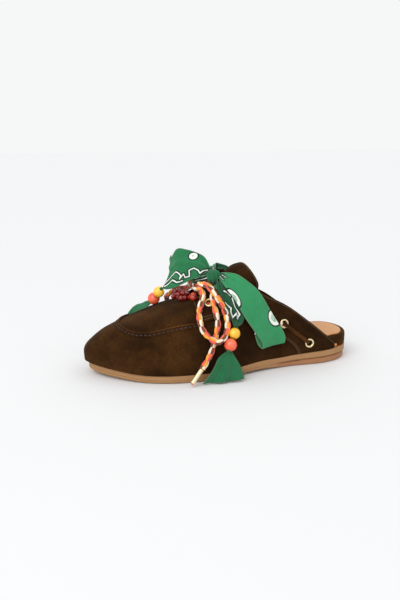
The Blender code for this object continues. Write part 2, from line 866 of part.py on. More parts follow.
BANDANA_FLAP = route(
    BAND_COLUMNS,
    (0.527, 0.455, 0.137, 0.514, 0.466, 0.160, 0),
    (0.559, 0.466, 0.173, 0.507, 0.483, 0.254, 0),
    (0.593, 0.474, 0.169, 0.516, 0.495, 0.319, 0),
    (0.631, 0.491, 0.142, 0.540, 0.507, 0.392, 0),
    (0.665, 0.502, 0.123, 0.580, 0.523, 0.439, 0),
    (0.691, 0.516, 0.128, 0.627, 0.543, 0.370, 0),
    (0.688, 0.550, 0.150, 0.608, 0.560, 0.389, 0),
)
BANDANA_FLAP_END = route(
    BAND_COLUMNS,
    (0.757, 0.534, 0.030, 0.756, 0.560, 0.058, 0),
    (0.766, 0.522, 0.024, 0.772, 0.566, 0.058, 0),
    (0.789, 0.530, 0.022, 0.791, 0.579, 0.060, 0),
    (0.810, 0.545, 0.016, 0.810, 0.582, 0.046, 0),
    (0.825, 0.556, 0.009, 0.827, 0.575, 0.023, 0),
)

# Beads, with the place of each off the last.
BEADS = (
    ("bead_yellow_outer", YELLOW_RADIUS, 0.511, 0.137, 0.065),
    ("bead_coral_outer", CORAL_RADIUS, 0.533, 0.102, 0.088),
    ("bead_yellow_inner", YELLOW_RADIUS, 0.711, 0.519, 0.119),
    ("bead_coral_inner", CORAL_RADIUS, 0.730, 0.556, 0.061),
    ("bead_red_back", RED_RADIUS, 0.615, 0.408, 0.054),
    ("bead_red_front", RED_RADIUS, 0.652, 0.470, 0.037),
    ("bead_red_top", RED_RADIUS, 0.632, 0.492, 0.058),
)
LACE_KNOT = ("lace_knot", 0.590, 0.494, 0.086, (0.0066, 0.0046, 0.0046))
BANDANA_KNOT = ("bandana_knot", 0.521, 0.440, 0.096, (0.0055, 0.0046, 0.0058))


def off_last(along, over, lift, drop=0.0, side=1):
    arch = pi * (over if side > 0 else 1 - over)
    return on_last(turn_of(along), arch, lift * STAND_OFF) - Vector((0, 0, drop * STAND_OFF))


def path_off_last(table, side=1):
    """Points CORD_SPACING apart, from end to end of a table's path."""
    steps = 12
    last = table.places[-1]
    fine = []
    for i in range(last * steps + 1):
        place = (table.at(name, i / steps) for name in CORD_COLUMNS)
        fine.append(off_last(*place, side=side))
    lengths = [0.0]
    for a, b in zip(fine, fine[1:]):
        lengths.append(lengths[-1] + (b - a).length)
    count = max(round(lengths[-1] / CORD_SPACING), 1)
    points = []
    i = 0
    for k in range(count + 1):
        target = lengths[-1] * k / count
        while i < len(fine) - 2 and lengths[i + 1] < target:
            i += 1
        share = (target - lengths[i]) / (lengths[i + 1] - lengths[i])
        points.append(fine[i].lerp(fine[i + 1], share))
    return points


def cord(name, points, radius, material):
    data = bpy.data.curves.new(name, "CURVE")
    data.dimensions = "3D"
    data.bevel_depth = radius
    data.bevel_resolution = 2
    data.use_fill_caps = True
    spline = data.splines.new("POLY")
    spline.points.add(len(points) - 1)
    for place, point in zip(spline.points, points):
        place.co = (*point, 1)
    return new_object(name, data, material)


def cloth(name, table, side, steps, columns, material, moved=Vector()):
    """A sheet between the low and top edges of a table, with steps rows from each stop to the next."""
    rows = []
    for i in range(table.places[-1] * steps + 1):
        stop = i / steps
        drop = table.at("drop", stop)
        ends = []
        for edge in ("low", "top"):
            along, over, lift = (table.at(f"{edge}_{name}", stop) for name in ("along", "over", "lift"))
            ends.append(Vector((along, over, lift)))
        places = [ends[0].lerp(ends[1], j / columns) for j in range(columns + 1)]
        row = [off_last(*place, drop=drop, side=side) + moved for place in places]
        rows.append(row[::side])
    sheet = grid_object(name, rows, material)
    solidify(sheet, CLOTH, outward=True)
    sheet.modifiers["wall"].offset = 0
    return sheet


def ellipsoid(name, along, over, lift, radii, material):
    mesh = bpy.data.meshes.new(name)
    work = bmesh.new()
    bmesh.ops.create_uvsphere(work, u_segments=12, v_segments=8, radius=1)
    bmesh.ops.scale(work, vec=radii, verts=work.verts)
    bmesh.ops.translate(work, vec=off_last(along, over, lift), verts=work.verts)
    work.to_mesh(mesh)
    work.free()
    return new_object(name, mesh, material)


def build_bead(name, radius, centre, axis, material):
    """A round bead with its bore along the axis."""
    limit = acos(BEAD_BORE)
    corners = 6
    angles = [limit - 2 * limit * i / (corners - 1) for i in range(corners)]
    bead = turned(name, [(radius * cos(a), radius * sin(a)) for a in angles], material, segments=10)
    bead.matrix_world = Matrix.Translation(centre) @ facing_z(axis)
    return bead


def build_beads():
    """Each coral bead hangs against its yellow one, towards its own place off the last. Returns how far each
    was moved from that place, which moves the cloth under it too."""
    centres = {name: off_last(along, over, lift) for name, radius, along, over, lift in BEADS}
    strings = {}
    moved = {}
    for word in ("outer", "inner"):
        yellow, coral = centres[f"bead_yellow_{word}"], centres[f"bead_coral_{word}"]
        strings[word] = (coral - yellow).normalized()
        hung = yellow + strings[word] * (YELLOW_RADIUS + CORAL_RADIUS + GAP)
        moved[word] = hung - coral
        centres[f"bead_coral_{word}"] = hung
    red_axis = centres["bead_red_front"] - centres["bead_red_back"]
    for name, radius, *_ in BEADS:
        material = YELLOW if "yellow" in name else CORAL if "coral" in name else RED
        axis = red_axis if "red" in name else strings[name.rsplit("_", 1)[1]]
        build_bead(name, radius, centres[name], axis, material)
    return moved


def build_thong(name, side):
    """The strip between the two strap eyelets, which lies on the back panel and ends on their lips."""
    (_, front, front_height, _), (_, back, back_height, _) = EYELETS[2], EYELETS[3]
    flat = PANEL_LIFT + PANEL_THICKNESS + 2 * GAP
    steps = 9
    spots = []
    for i in range(steps + 1):
        share = i / steps
        along = front + (back - front) * share
        height = front_height + (back_height - front_height) * share
        point, normal = seat(along, height, side)
        at_lip = min(share, 1 - share) * 3 < 0.6
        spots.append((point + normal * (flat + (EYELET_LIP + GAP if at_lip else 0)), normal))
    rows = []
    for i, (point, normal) in enumerate(spots):
        ahead = spots[min(i + 1, steps)][0] - spots[max(i - 1, 0)][0]
        aside = normal.cross(ahead).normalized() * THONG_WIDTH / 2
        rows.append([point - aside, point, point + aside])
    thong = grid_object(name, rows, SUEDE)
    solidify(thong, THONG_THICKNESS, outward=True)
    return thong


def build_laces():
    cord("lace_bar", path_off_last(LACE_BAR), LACE_RADIUS, LACE)
    ellipsoid(*LACE_KNOT, LACE)
    for side, word in ((1, "outer"), (-1, "inner")):
        cord(f"lace_loop_{word}", path_off_last(LACE_LOOP, side), LACE_RADIUS, LACE)
    for word, table in (("outer", LACE_END), ("inner", LACE_END_INNER)):
        points = path_off_last(table)
        cord(f"lace_end_{word}", points, LACE_RADIUS, LACE)
        tip = off_last(*AGLET_TIPS[word])
        start = points[-1] + (tip - points[-1]).normalized() * 3 * GAP
        cord(f"aglet_{word}", [start, tip], AGLET_RADIUS, BRASS)


def build_bandana(moved):
    ellipsoid(*BANDANA_KNOT, BANDANA)
    cloth("bandana_band", BANDANA_BAND, 1, 1, 2, BANDANA)
    for side, word in ((1, "outer"), (-1, "inner")):
        cloth(f"bandana_loop_{word}", BANDANA_LOOPS[word], side, 1, 4, BANDANA)
    cloth("bandana_tail_outer", BANDANA_TAIL, 1, 1, 3, BANDANA)
    cloth("bandana_tail_end_outer", BANDANA_FAN, 1, 1, 5, BANDANA, moved["outer"])
    cloth("bandana_tail_inner", BANDANA_FLAP, 1, 1, 5, BANDANA)
    cloth("bandana_tail_end_inner", BANDANA_FLAP_END, 1, 1, 3, BANDANA, moved["inner"])


for old in list(bpy.data.objects):
    bpy.data.objects.remove(old)

parts = bpy.data.collections.new("loafer_mule")
bpy.context.scene.collection.children.link(parts)

cutters = bpy.data.collections.new("cutters")
bpy.context.scene.collection.children.link(cutters)

SUEDE = paint("suede", (0.045, 0.022, 0.012), 0.95)
SOLE_RUBBER = paint("sole_rubber", (0.50, 0.31, 0.19), 0.75)
INSOLE_LEATHER = paint("insole_leather", (0.62, 0.36, 0.16), 0.60)
BRASS = paint("pale_brass", (0.80, 0.62, 0.34), 0.30, metallic=1.0)
LACE = paint("lace_cord", (0.85, 0.45, 0.25), 0.80)
BANDANA = paint("bandana_cotton", (0.04, 0.36, 0.15), 0.85)
YELLOW = paint("yellow_bead", (0.95, 0.66, 0.08), 0.35)
CORAL = paint("coral_bead", (0.90, 0.16, 0.06), 0.35)
RED = paint("red_bead", (0.45, 0.02, 0.01), 0.10)

build_sole()
build_footbed()
build_insole()
UPPER = build_upper()
build_tongue()
build_apron_seam()
FACINGS = {1: build_facing("facing_outer", 1), -1: build_facing("facing_inner", -1)}
BACK_PANELS = {1: build_back_panel("back_panel_outer", 1), -1: build_back_panel("back_panel_inner", -1)}
build_eyelets()
build_thong("thong_outer", 1)
build_thong("thong_inner", -1)
build_laces()
build_bandana(build_beads())
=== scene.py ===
"""Left loafer mule in dark suede on a tan sole, with a braided lace bow and a beaded bandana."""

from contextlib import contextmanager
from math import acos, asin, cos, pi, radians, sin

import bmesh
import bpy
from mathutils import Matrix, Vector, noise


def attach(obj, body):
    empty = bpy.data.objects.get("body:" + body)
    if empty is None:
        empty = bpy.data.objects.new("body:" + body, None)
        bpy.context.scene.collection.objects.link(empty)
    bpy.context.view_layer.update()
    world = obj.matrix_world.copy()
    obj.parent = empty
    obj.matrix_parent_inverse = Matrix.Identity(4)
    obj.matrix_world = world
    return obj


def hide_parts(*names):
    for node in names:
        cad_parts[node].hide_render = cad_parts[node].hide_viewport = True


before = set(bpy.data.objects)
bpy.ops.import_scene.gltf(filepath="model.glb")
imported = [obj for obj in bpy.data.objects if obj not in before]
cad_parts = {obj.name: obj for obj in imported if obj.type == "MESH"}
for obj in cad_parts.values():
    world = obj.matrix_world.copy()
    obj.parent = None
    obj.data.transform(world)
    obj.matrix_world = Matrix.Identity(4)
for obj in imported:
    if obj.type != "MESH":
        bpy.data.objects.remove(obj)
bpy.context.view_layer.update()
SIDES = ((1, "outer"), (-1, "inner"))


def linked(name, data):
    """A new object of this data, in the scene."""
    made = bpy.data.objects.new(name, data)
    bpy.context.scene.collection.objects.link(made)
    return made


def aimed(direction):
    """The turn of a camera or light that looks against a direction."""
    return direction.to_track_quat("Z", "Y").to_euler()


# Camera, light and floor: the photo's view from the outer side towards the toe, in a pale studio with one
# broad light from beyond the toe and one small softbox for the glints.
azimuth, elevation = radians(72.87), radians(14.54)
back = Vector((sin(azimuth) * cos(elevation), -cos(azimuth) * cos(elevation), sin(elevation)))
camera_data = bpy.data.cameras.new("camera")
camera_data.lens = 39.41
camera_data.sensor_width = 36
camera = linked("camera", camera_data)
camera.location = (0.56422, -0.28895, 0.21634)
camera.rotation_euler = (-back).to_track_quat("-Z", "Y").to_euler()
bpy.context.scene.camera = camera

sun_data = bpy.data.lights.new("window_light", "SUN")
sun_data.energy = 1.30
sun_data.angle = radians(50)
linked("window_light", sun_data).rotation_euler = aimed(Vector((0.50, -0.62, 0.60)))
softbox_data = bpy.data.lights.new("softbox", "AREA")
softbox_data.energy = 0.7
softbox_data.size = 0.35
softbox = linked("softbox", softbox_data)
softbox.location = (0.50, -0.60, 0.75)
softbox.rotation_euler = aimed(softbox.location - Vector((0, -0.09, 0.03)))

bpy.context.scene.view_settings.view_transform = "Standard"
world = bpy.data.worlds.new("studio")
bpy.context.scene.world = world
world.use_nodes = True
world.node_tree.nodes["Background"].inputs["Color"].default_value = (0.925, 0.928, 0.932, 1)

floor_mesh = bpy.data.meshes.new("floor")
FLOOR_HALF, FLOOR_HEIGHT = 6, -0.0003
corners = [(FLOOR_HALF * x, FLOOR_HALF * y, FLOOR_HEIGHT) for x, y in ((-1, -1), (1, -1), (1, 1), (-1, 1))]
floor_mesh.from_pydata(corners, [], [(0, 1, 2, 3)])
paper = bpy.data.materials.new("studio_paper")
paper.use_nodes = True
matt = {"Base Color": (0.775, 0.778, 0.782, 1), "Roughness": 1.0, "Specular IOR Level": 0.0}
for socket, value in matt.items():
    paper.node_tree.nodes["Principled BSDF"].inputs[socket].default_value = value
floor_mesh.materials.append(paper)
linked("floor", floor_mesh)

# Outsole: one moulded tan rubber unit, thin and flat under the ball and thicker under the heel, where a groove
# makes a second tier. Its edge is the outline that all the rest of the shoe stands on.
LENGTH = 0.252
HEEL_BACK = 0.0335
BALL_WIDTH = 0.087
HEEL_HEIGHT = 0.0132
FOREFOOT_SOLE = 0.0072
SOLE_EDGE = 0.0018
HEEL_GROOVE = 0.0012
SOLE_TURNS = 240


class Table:
    """Rows of numbers under named columns, read on a smooth curve through them by the first column."""

    def __init__(self, columns, *rows):
        self.places = [row[0] for row in rows]
        self.values = {name: [row[i] for row in rows] for i, name in enumerate(columns)}

    def slope(self, values, i):
        before, after = max(i - 1, 0), min(i + 1, len(values) - 1)
        return (values[after] - values[before]) / (self.places[after] - self.places[before])

    def at(self, column, place):
        values = self.values[column]
        place = min(max(place, self.places[0]), self.places[-1])
        i = max(k for k in range(len(values) - 1) if self.places[k] <= place)
        step = self.places[i + 1] - self.places[i]
        t = (place - self.places[i]) / step
        start, end = self.slope(values, i) * step, self.slope(values, i + 1) * step
        rise = values[i + 1] - values[i]
        return values[i] + t * (start + t * (3 * rise - 2 * start - end + t * (start + end - 2 * rise)))


# Half widths as shares of the ball's width, before both ends are rounded off, and the share of heel height.
OUTLINE = Table(
    ("along", "outer", "inner"),
    (0.00, 0.713, 0.713), (0.12, 0.557, 0.548), (0.25, 0.418, 0.391), (0.35, 0.403, 0.320), (0.45, 0.452, 0.317),
    (0.55, 0.509, 0.375), (0.65, 0.550, 0.463), (0.75, 0.578, 0.551), (0.85, 0.570, 0.594), (0.92, 0.510, 0.586),
    (1.00, 0.450, 0.529),
)
HEEL_SHARE = Table(
    ("along", "heel"),
    (0.00, 1.00), (0.10, 0.96), (0.18, 0.86), (0.25, 0.68), (0.31, 0.44), (0.37, 0.22), (0.44, 0.04), (0.52, 0.00),
    (0.82, 0.00), (0.92, 0.10), (1.00, 0.18),
)


def ramp(value, start, end):
    return min(max((value - start) / (end - start), 0), 1)


def along_of(turn):
    return (1 - cos(turn)) / 2


def turn_of(along):
    return acos(1 - 2 * min(max(along, 0), 1))


def middle(along):
    return -0.009 * ramp(along, 0.40, 1) ** 2


def rim(turn, inset=0.0):
    """A point of the sole's outline in plan: turn 0 is the heel's back, pi the toe, past pi the inner side."""

    def on_edge(angle):
        along = along_of(angle)
        half = OUTLINE.at("outer" if sin(angle) >= 0 else "inner", along) * BALL_WIDTH
        return Vector((middle(along) + half * sin(angle), HEEL_BACK - LENGTH * along))

    tangent = (on_edge(turn + 0.01) - on_edge(turn - 0.01)).normalized()
    return on_edge(turn) - Vector((-tangent.y, tangent.x)) * inset


def floor_line(along):
    if along <= 0.27 or 0.57 <= along <= 0.76:
        return 0.0
    if along < 0.57:
        return 0.0022 * sin(pi * (along - 0.27) / 0.30) ** 2
    return 0.0048 * ((along - 0.76) / 0.24) ** 2


def sole_top(along):
    thickness = FOREFOOT_SOLE + (HEEL_HEIGHT - FOREFOOT_SOLE) * HEEL_SHARE.at("heel", along)
    return floor_line(along) + thickness


@contextmanager
def reworked(mesh):
    """The mesh open for edits, which are written back to it."""
    work = bmesh.new()
    work.from_mesh(mesh)
    yield work
    work.to_mesh(mesh)
    work.free()


def skin(name, rows, material, closed=False, uvs=None, keep=None):
    """A smooth quad surface through rows of points, closed round each row if asked."""
    count = len(rows[0])
    points = [tuple(point) for row in rows for point in row]
    faces = []
    for i in range(len(rows) - 1):
        for j in range(count if closed else count - 1):
            k = (j + 1) % count
            if keep is None or keep(i, j):
                faces.append((i * count + j, (i + 1) * count + j, (i + 1) * count + k, i * count + k))
    mesh = bpy.data.meshes.new(name)
    mesh.from_pydata(points, [], faces)
    mesh.materials.append(material)
    for title, places in (uvs or {}).items():
        layer = mesh.uv_layers.new(name=title)
        flat = [place for row in places for place in row]
        for loop in mesh.loops:
            layer.data[loop.index].uv = flat[loop.vertex_index]
    with reworked(mesh) as work:
        bmesh.ops.remove_doubles(work, verts=work.verts, dist=1e-6)
        bmesh.ops.delete(work, geom=[v for v in work.verts if not v.link_faces], context="VERTS")
        for face in work.faces:
            face.smooth = True
    return linked(name, mesh)


def outward(piece):
    """The piece with its faces recalculated to point out of it."""
    with reworked(piece.data) as work:
        bmesh.ops.recalc_face_normals(work, faces=work.faces)
    return piece


def capped(piece):
    """The piece with its open ends filled and its faces pointing out of it."""
    with reworked(piece.data) as work:
        bmesh.ops.holes_fill(work, edges=[e for e in work.edges if e.is_boundary])
    return outward(piece)


def ring_turns(count):
    return [2 * pi * k / count for k in range(count)]


def ball(name, rings, around, surface, material):
    """A closed lump, given the place of its surface in each direction."""
    rows = []
    for i in range(rings + 1):
        polar = pi * i / rings
        ways = [Vector((cos(turn) * sin(polar), sin(turn) * sin(polar), cos(polar))) for turn in ring_turns(around)]
        rows.append([surface(way) for way in ways])
    return outward(skin(name, rows, material, closed=True))


def stack(name, levels, material):
    """A closed solid through outline rings, each given as (inset, height), functions of the place along."""
    rings = []
    for inset, height in levels:
        ring = []
        for turn in ring_turns(SOLE_TURNS):
            flat = rim(turn, inset(along_of(turn)))
            ring.append(Vector((flat.x, flat.y, height(ramp(HEEL_BACK - flat.y, 0, LENGTH)))))
        rings.append(ring)
    piece = skin(name, rings, material, closed=True)
    with reworked(piece.data) as work:
        work.verts.ensure_lookup_table()
        for start in (0, (len(rings) - 1) * SOLE_TURNS):
            loop = [work.verts[start + i] for i in range(SOLE_TURNS)]
            for i in range(SOLE_TURNS // 2):
                cap = dict.fromkeys((loop[i], loop[i + 1], loop[-i - 1], loop[-i]))
                work.faces.new(tuple(cap)).smooth = True
    return outward(piece)


def applied(piece):
    """The piece with its modifiers made into plain mesh."""
    bpy.context.view_layer.update()
    made = bpy.data.meshes.new_from_object(piece.evaluated_get(bpy.context.evaluated_depsgraph_get()))
    piece.modifiers.clear()
    piece.data = made
    return piece


def fitted(piece, slot, *nodes):
    """The finished piece, on the shoe in the place of the plain solids it stands for."""
    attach(piece, "root")
    if nodes:
        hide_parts(*nodes)
    return piece


class Signal:
    """A socket of a node tree. Arithmetic on it adds Math nodes."""

    def __init__(self, tree, socket):
        self.tree, self.socket = tree, socket

    def node(self, kind, settings, inputs, out=0):
        """The output of a new node of this kind, with its settings, then its inputs by name or number."""
        made = self.tree.nodes.new(kind)
        for name, setting in settings.items():
            if name == "stops":
                for i, (place, colour) in enumerate(setting):
                    stops = made.color_ramp.elements
                    stop = stops[i] if i < 2 else stops.new(place)
                    stop.position, stop.color = place, colour
            else:
                setattr(made, name, setting)
        for name, value in inputs.items():
            if isinstance(value, Signal):
                self.tree.links.new(value.socket, made.inputs[name])
            else:
                made.inputs[name].default_value = value
        return Signal(self.tree, made.outputs[out])

    def maths(self, operation, *others):
        inputs = dict(enumerate((self, *others)))
        return self.node("ShaderNodeMath", {"operation": operation}, inputs)

    def vectors(self, operation, *others):
        inputs = dict(enumerate((self, *others)))
        return self.node("ShaderNodeVectorMath", {"operation": operation}, inputs)

    def geometry(self, kind, settings=None, **inputs):
        """The output of a new geometry node, with its inputs by name and _ for a space."""
        named = {name.replace("_", " "): value for name, value in inputs.items()}
        return self.node(f"GeometryNode{kind}", settings or {}, named)

    def __add__(self, other):
        return self.maths("ADD", other)

    def __mul__(self, other):
        return self.maths("MULTIPLY", other)

    def __sub__(self, other):
        return self.maths("SUBTRACT", other)

    def __truediv__(self, other):
        return self.maths("DIVIDE", other)

    def __rsub__(self, other):
        return self * -1 + other

    __radd__ = __add__
    __rmul__ = __mul__

    def step(self, start, end):
        """0 below start, 1 above end and smooth between them."""
        settings = {"interpolation_type": "SMOOTHSTEP"}
        return self.node("ShaderNodeMapRange", settings, {0: self, 1: start, 2: end, 3: 0.0, 4: 1.0})

    def blend(self, low, high):
        """A colour from low at 0 to high at 1."""
        return self.node("ShaderNodeMix", {"data_type": "RGBA"}, {0: self, 6: low, 7: high}, out=2)

    def noise(self, scale, detail=3.0, rough=0.55):
        inputs = {"Vector": self, "Scale": scale, "Detail": detail, "Roughness": rough}
        return self.node("ShaderNodeTexNoise", {}, inputs)

    def bump(self, distance, strength=1.0):
        return self.node("ShaderNodeBump", {}, {"Height": self, "Distance": distance, "Strength": strength})

    def axis(self, letter):
        return self.node("ShaderNodeSeparateXYZ", {}, {0: self}, out="XYZ".index(letter))


def tint(red, green, blue):
    """A colour given in the 0 to 255 of a screen."""
    return tuple((c / 255) ** 2.2 for c in (red, green, blue)) + (1.0,)


def finish(name, settings, paint, *given):
    """A material whose changing inputs come from paint, called with the place on the piece and what is given."""
    material = bpy.data.materials.new(name)
    material.use_nodes = True
    tree = material.node_tree
    shader = tree.nodes["Principled BSDF"]
    for socket, value in settings.items():
        shader.inputs[socket].default_value = value
    place = Signal(tree, tree.nodes.new("ShaderNodeTexCoord").outputs["Object"])
    for socket, signal in paint(place, *given).items():
        tree.links.new(signal.socket, shader.inputs[socket])
    return material


def rubber_paint(place, low, high, low_patch_share):
    """Moulded rubber with a fine grain, darker in patches in its bottom 3 mm, towards the floor."""
    clouds = place.noise(60, 4)
    grain = place.noise(1400, 2)
    # darker patches only in the bottom 3 mm of the rubber, towards the floor
    low_dark_patches = (1 - place.axis("Z").step(0.0006, 0.0030)) * place.noise(220, 3).step(0.40, 0.62)
    return {
        "Base Color": (low_dark_patches * low_patch_share).blend((clouds * 0.8 + grain * 0.2).blend(low, high), tint(128, 92, 60)),
        "Roughness": grain * 0.25 + 0.5,
        "Normal": (grain * 0.35 + clouds * 0.2).bump(0.0004),
    }


SATIN = {"Specular IOR Level": 0.35}
SOLE_RUBBER = finish("sole_rubber", SATIN, rubber_paint, tint(151, 110, 71), tint(169, 128, 87), 0.35)
HEEL_RUBBER = finish("heel_rubber", SATIN, rubber_paint, tint(150, 102, 70), tint(168, 120, 85), 0.0)


def heel_only(along):
    return ramp(0.34 - along, 0, 0.06)


def up_sole(share, above=0.0):
    return lambda along: floor_line(along) + share * (sole_top(along) - floor_line(along)) + above


def edge(depth, tier=0.0):
    return lambda along: depth + (0.0010 + tier) * heel_only(along)


def flat_edge(depth):
    return lambda along: depth


GROOVE_SHARE = 0.48
TIER_END = 0.335
rounding = [radians(15 * k) for k in range(7)]
levels = [(edge(0.010), floor_line), (edge(SOLE_EDGE * 1.3), floor_line)]
for angle in rounding:
    levels.append((edge(SOLE_EDGE * (1 - sin(angle))), up_sole(0, SOLE_EDGE * (1 - cos(angle)))))
levels += [(edge(0), up_sole(share)) for share in (0.30, 0.36, 0.42)]
for drop, depth in ((-0.0007, 0), (-0.0005, 0.3), (-0.0003, 0.9), (0, 1), (0.0003, 0.9), (0.0005, 0.2)):
    levels.append((edge(0, HEEL_GROOVE * depth), up_sole(GROOVE_SHARE, drop)))
levels += [(flat_edge(0.0), up_sole(share)) for share in (0.56, 0.64, 0.72)]
for angle in rounding:
    drop = SOLE_EDGE * 0.6
    levels.append((flat_edge(drop * (1 - cos(angle))), up_sole(1, drop * (sin(angle) - 1))))
outsole = stack("outsole_moulded", levels, SOLE_RUBBER)
outsole.data.materials.append(HEEL_RUBBER)
for face in outsole.data.polygons:
    along = (HEEL_BACK - face.center.y) / LENGTH
    if along < TIER_END and face.center.z < up_sole(GROOVE_SHARE)(along):
        face.material_index = 1
fitted(outsole, "sole_rubber", "outsole")

# Footbed and insole: a foam bed wrapped in the same suede, its rim rounded and standing proud at the open
# heel, with a smooth tan leather insole let into it.
FEATHER_INSET = 0.0002
WALL = 0.0020
GAP = 0.0003
RIM_WIDTH = 0.0036
RIM_RADIUS = 0.0016
BED_FRONT, BED_HEEL, BED_INSET = 0.0026, 0.0115, 0.0002
FOOTBED_SHARE = Table(
    ("along", "heel"),
    (0.00, 1.00), (0.20, 0.95), (0.35, 0.75), (0.50, 0.20), (0.60, 0.00), (1.00, 0.00),
)


def suede_paint(place, shade):
    """Brushed nap: broad clouds where it was stroked, fine fibres, and paler towards the toe as painted light, where
    the lamp falls on it.
    """
    clouds = place.noise(38, 4, 0.6).step(0.30, 0.72)
    strokes = place.noise(170, 3, 0.6)
    fibres = place.noise(1500, 3, 0.7)
    dark, mid, pale = (tint(*[c * shade for c in colour]) for colour in SUEDE_TONES)
    # painted light: the nap is paler towards the toe and darker towards the heel, as the light falls on the shoe; the
    # paler fibre tips follow it too
    paler_end = place.axis("Y").step(-0.080, -0.200) * 0.45 + 0.55
    nap = ((clouds * 0.6 + strokes * 0.4) * paler_end).blend(dark, mid)
    return {
        "Base Color": (fibres.step(0.45, 0.75) * clouds * paler_end * 0.6).blend(nap, pale),
        "Roughness": fibres * 0.15 + 0.82,
        "Normal": (fibres * 0.7 + strokes * 0.5).bump(0.0005),
    }


def leather_paint(place):
    clouds = place.noise(45, 3)
    pores = place.node("ShaderNodeTexVoronoi", {}, {"Vector": place, "Scale": 1100.0})
    # paler in patches towards the heel end of the insole
    paler_end = place.axis("Y").step(-0.020, 0.030) * clouds
    return {
        "Base Color": (clouds * 0.5 + paler_end * 0.5).blend(tint(188, 128, 76), tint(204, 148, 92)),
        "Roughness": clouds * 0.2 + 0.42,
        "Normal": (pores * 0.5 + clouds * 0.2).bump(0.0002, 0.6),
    }


SUEDE_TONES = ((32, 20, 10), (67, 43, 21), (120, 82, 44))
NAP = {"Sheen Weight": 0.12, "Sheen Roughness": 0.5, "Sheen Tint": (0.45, 0.26, 0.13, 1), "Specular IOR Level": 0.06}
LIGHT_SHADE = 1.35
SUEDE = finish("suede", NAP, suede_paint, 1.0)
INSOLE_LEATHER = finish("insole_leather", {"Coat Weight": 0.12, "Coat Roughness": 0.35}, leather_paint)


def bed_base(along):
    return sole_top(along) + GAP


def footbed_top(along):
    return bed_base(along) + BED_FRONT + (BED_HEEL - BED_FRONT) * FOOTBED_SHARE.at("heel", along)


def footbed_inset(along):
    return BED_INSET + (FEATHER_INSET + WALL + 3 * GAP - BED_INSET) * ramp(along, 0.045, 0.075)


def bed_edge(depth):
    return lambda along: footbed_inset(along) + depth


def below_top(depth):
    return lambda along: footbed_top(along) - depth


def up_bed(share):
    return lambda along: bed_base(along) + share * (footbed_top(along) - RIM_RADIUS - sole_top(along))


levels = [(bed_edge(0.006), bed_base), (bed_edge(0.0004), bed_base)]
levels.append((bed_edge(0), lambda along: bed_base(along) + 0.0005))
levels += [(bed_edge(-0.0002), up_bed(share)) for share in (0.25, 0.5, 0.75)]
for angle in rounding:
    levels.append((bed_edge(RIM_RADIUS * (1 - cos(angle))), below_top(RIM_RADIUS * (1 - sin(angle)))))
for depth, drop in ((0.0022, -0.0001), (0.0028, 0.0001), (0.0033, 0.0005), (RIM_WIDTH, 0.0010)):
    levels.append((bed_edge(depth), below_top(drop)))
FOOTBED_SUEDE = finish("footbed_suede", NAP, suede_paint, LIGHT_SHADE)
fitted(stack("footbed_wrapped", levels, FOOTBED_SUEDE), "suede", "footbed")

INSOLE_EDGE = RIM_WIDTH + GAP
levels = [(bed_edge(INSOLE_EDGE + GAP), below_top(0.0010 - GAP)), (bed_edge(INSOLE_EDGE), below_top(0.0003))]
for depth, rise in ((0.0001, 0.0002), (0.0004, 0.0006), (0.0009, 0.0009), (0.0020, 0.0010), (0.005, 0.0010)):
    levels.append((bed_edge(INSOLE_EDGE + depth), below_top(0.0001 - rise)))
fitted(stack("insole_lining", levels, INSOLE_LEATHER), "insole_leather", "insole")

# Upper: one skin of suede over the last, from the toe to the two wings that end at the open heel, with a
# slit over the instep for the tongue. All that is sewn to it is placed on the same last.
INSTEP = 0.100
UPPER_LENGTH = LENGTH - 2 * FEATHER_INSET + 0.0042
THROAT_HALF = 0.0100
THROAT_FRONT = 0.625
WING_END = 0.088
ARCH_STEPS = 60
CROWN = Table(
    ("along", "rise", "outer", "inner"),
    (0.08, 2.25, 2.00, 2.00), (0.19, 1.41, 2.00, 2.00), (0.28, 1.18, 1.95, 2.00), (0.37, 0.99, 1.85, 2.40),
    (0.43, 0.90, 1.95, 2.60), (0.51, 0.75, 2.10, 2.70), (0.57, 0.665, 2.15, 2.60), (0.63, 0.608, 2.25, 2.80),
    (0.70, 0.585, 2.35, 3.00), (0.80, 0.563, 2.35, 2.80), (0.90, 0.560, 2.30, 2.50), (1.00, 0.600, 2.30, 2.30),
)
TOPLINE = Table(
    ("along", "height"),
    (0.080, 0.170), (0.120, 0.262), (0.200, 0.430), (0.281, 0.586), (0.371, 0.708), (0.440, 0.803), (0.500, 0.960),
    (0.560, 1.200),
)


def reach_of(turn, column):
    return (OUTLINE.at(column, along_of(turn)) * BALL_WIDTH - FEATHER_INSET) * abs(sin(turn))


def rise_of(turn):
    return CROWN.at("rise", along_of(turn)) * INSTEP * abs(sin(turn))


def last_point(turn, arch):
    """A point of the last: arch 0 is the outer feather line, pi/2 the crown, pi the inner feather line."""
    along = along_of(turn)
    side = 1 if arch <= pi / 2 else -1
    column = "outer" if side > 0 else "inner"
    power = 2 / CROWN.at(column, along)
    across = reach_of(turn, column) * abs(cos(arch)) ** power
    height = rise_of(turn) * abs(sin(arch)) ** power
    y = HEEL_BACK - FEATHER_INSET - UPPER_LENGTH * along
    point = Vector((middle(along) + side * across, y, bed_base(along) + height))
    swell = 0.0022 * ramp(along, 0.35, 0.62) * sin(pi * min(height / 0.024, 1)) ** 2
    return point + (rim(side * turn, -1) - rim(side * turn)).to_3d() * swell


def last_normal(turn, arch):
    turn = min(turn, pi - 0.036)
    forward = last_point(turn + 0.012, arch) - last_point(turn - 0.012, arch)
    over = last_point(turn, min(arch + 0.012, pi)) - last_point(turn, max(arch - 0.012, 0))
    return over.cross(forward).normalized()


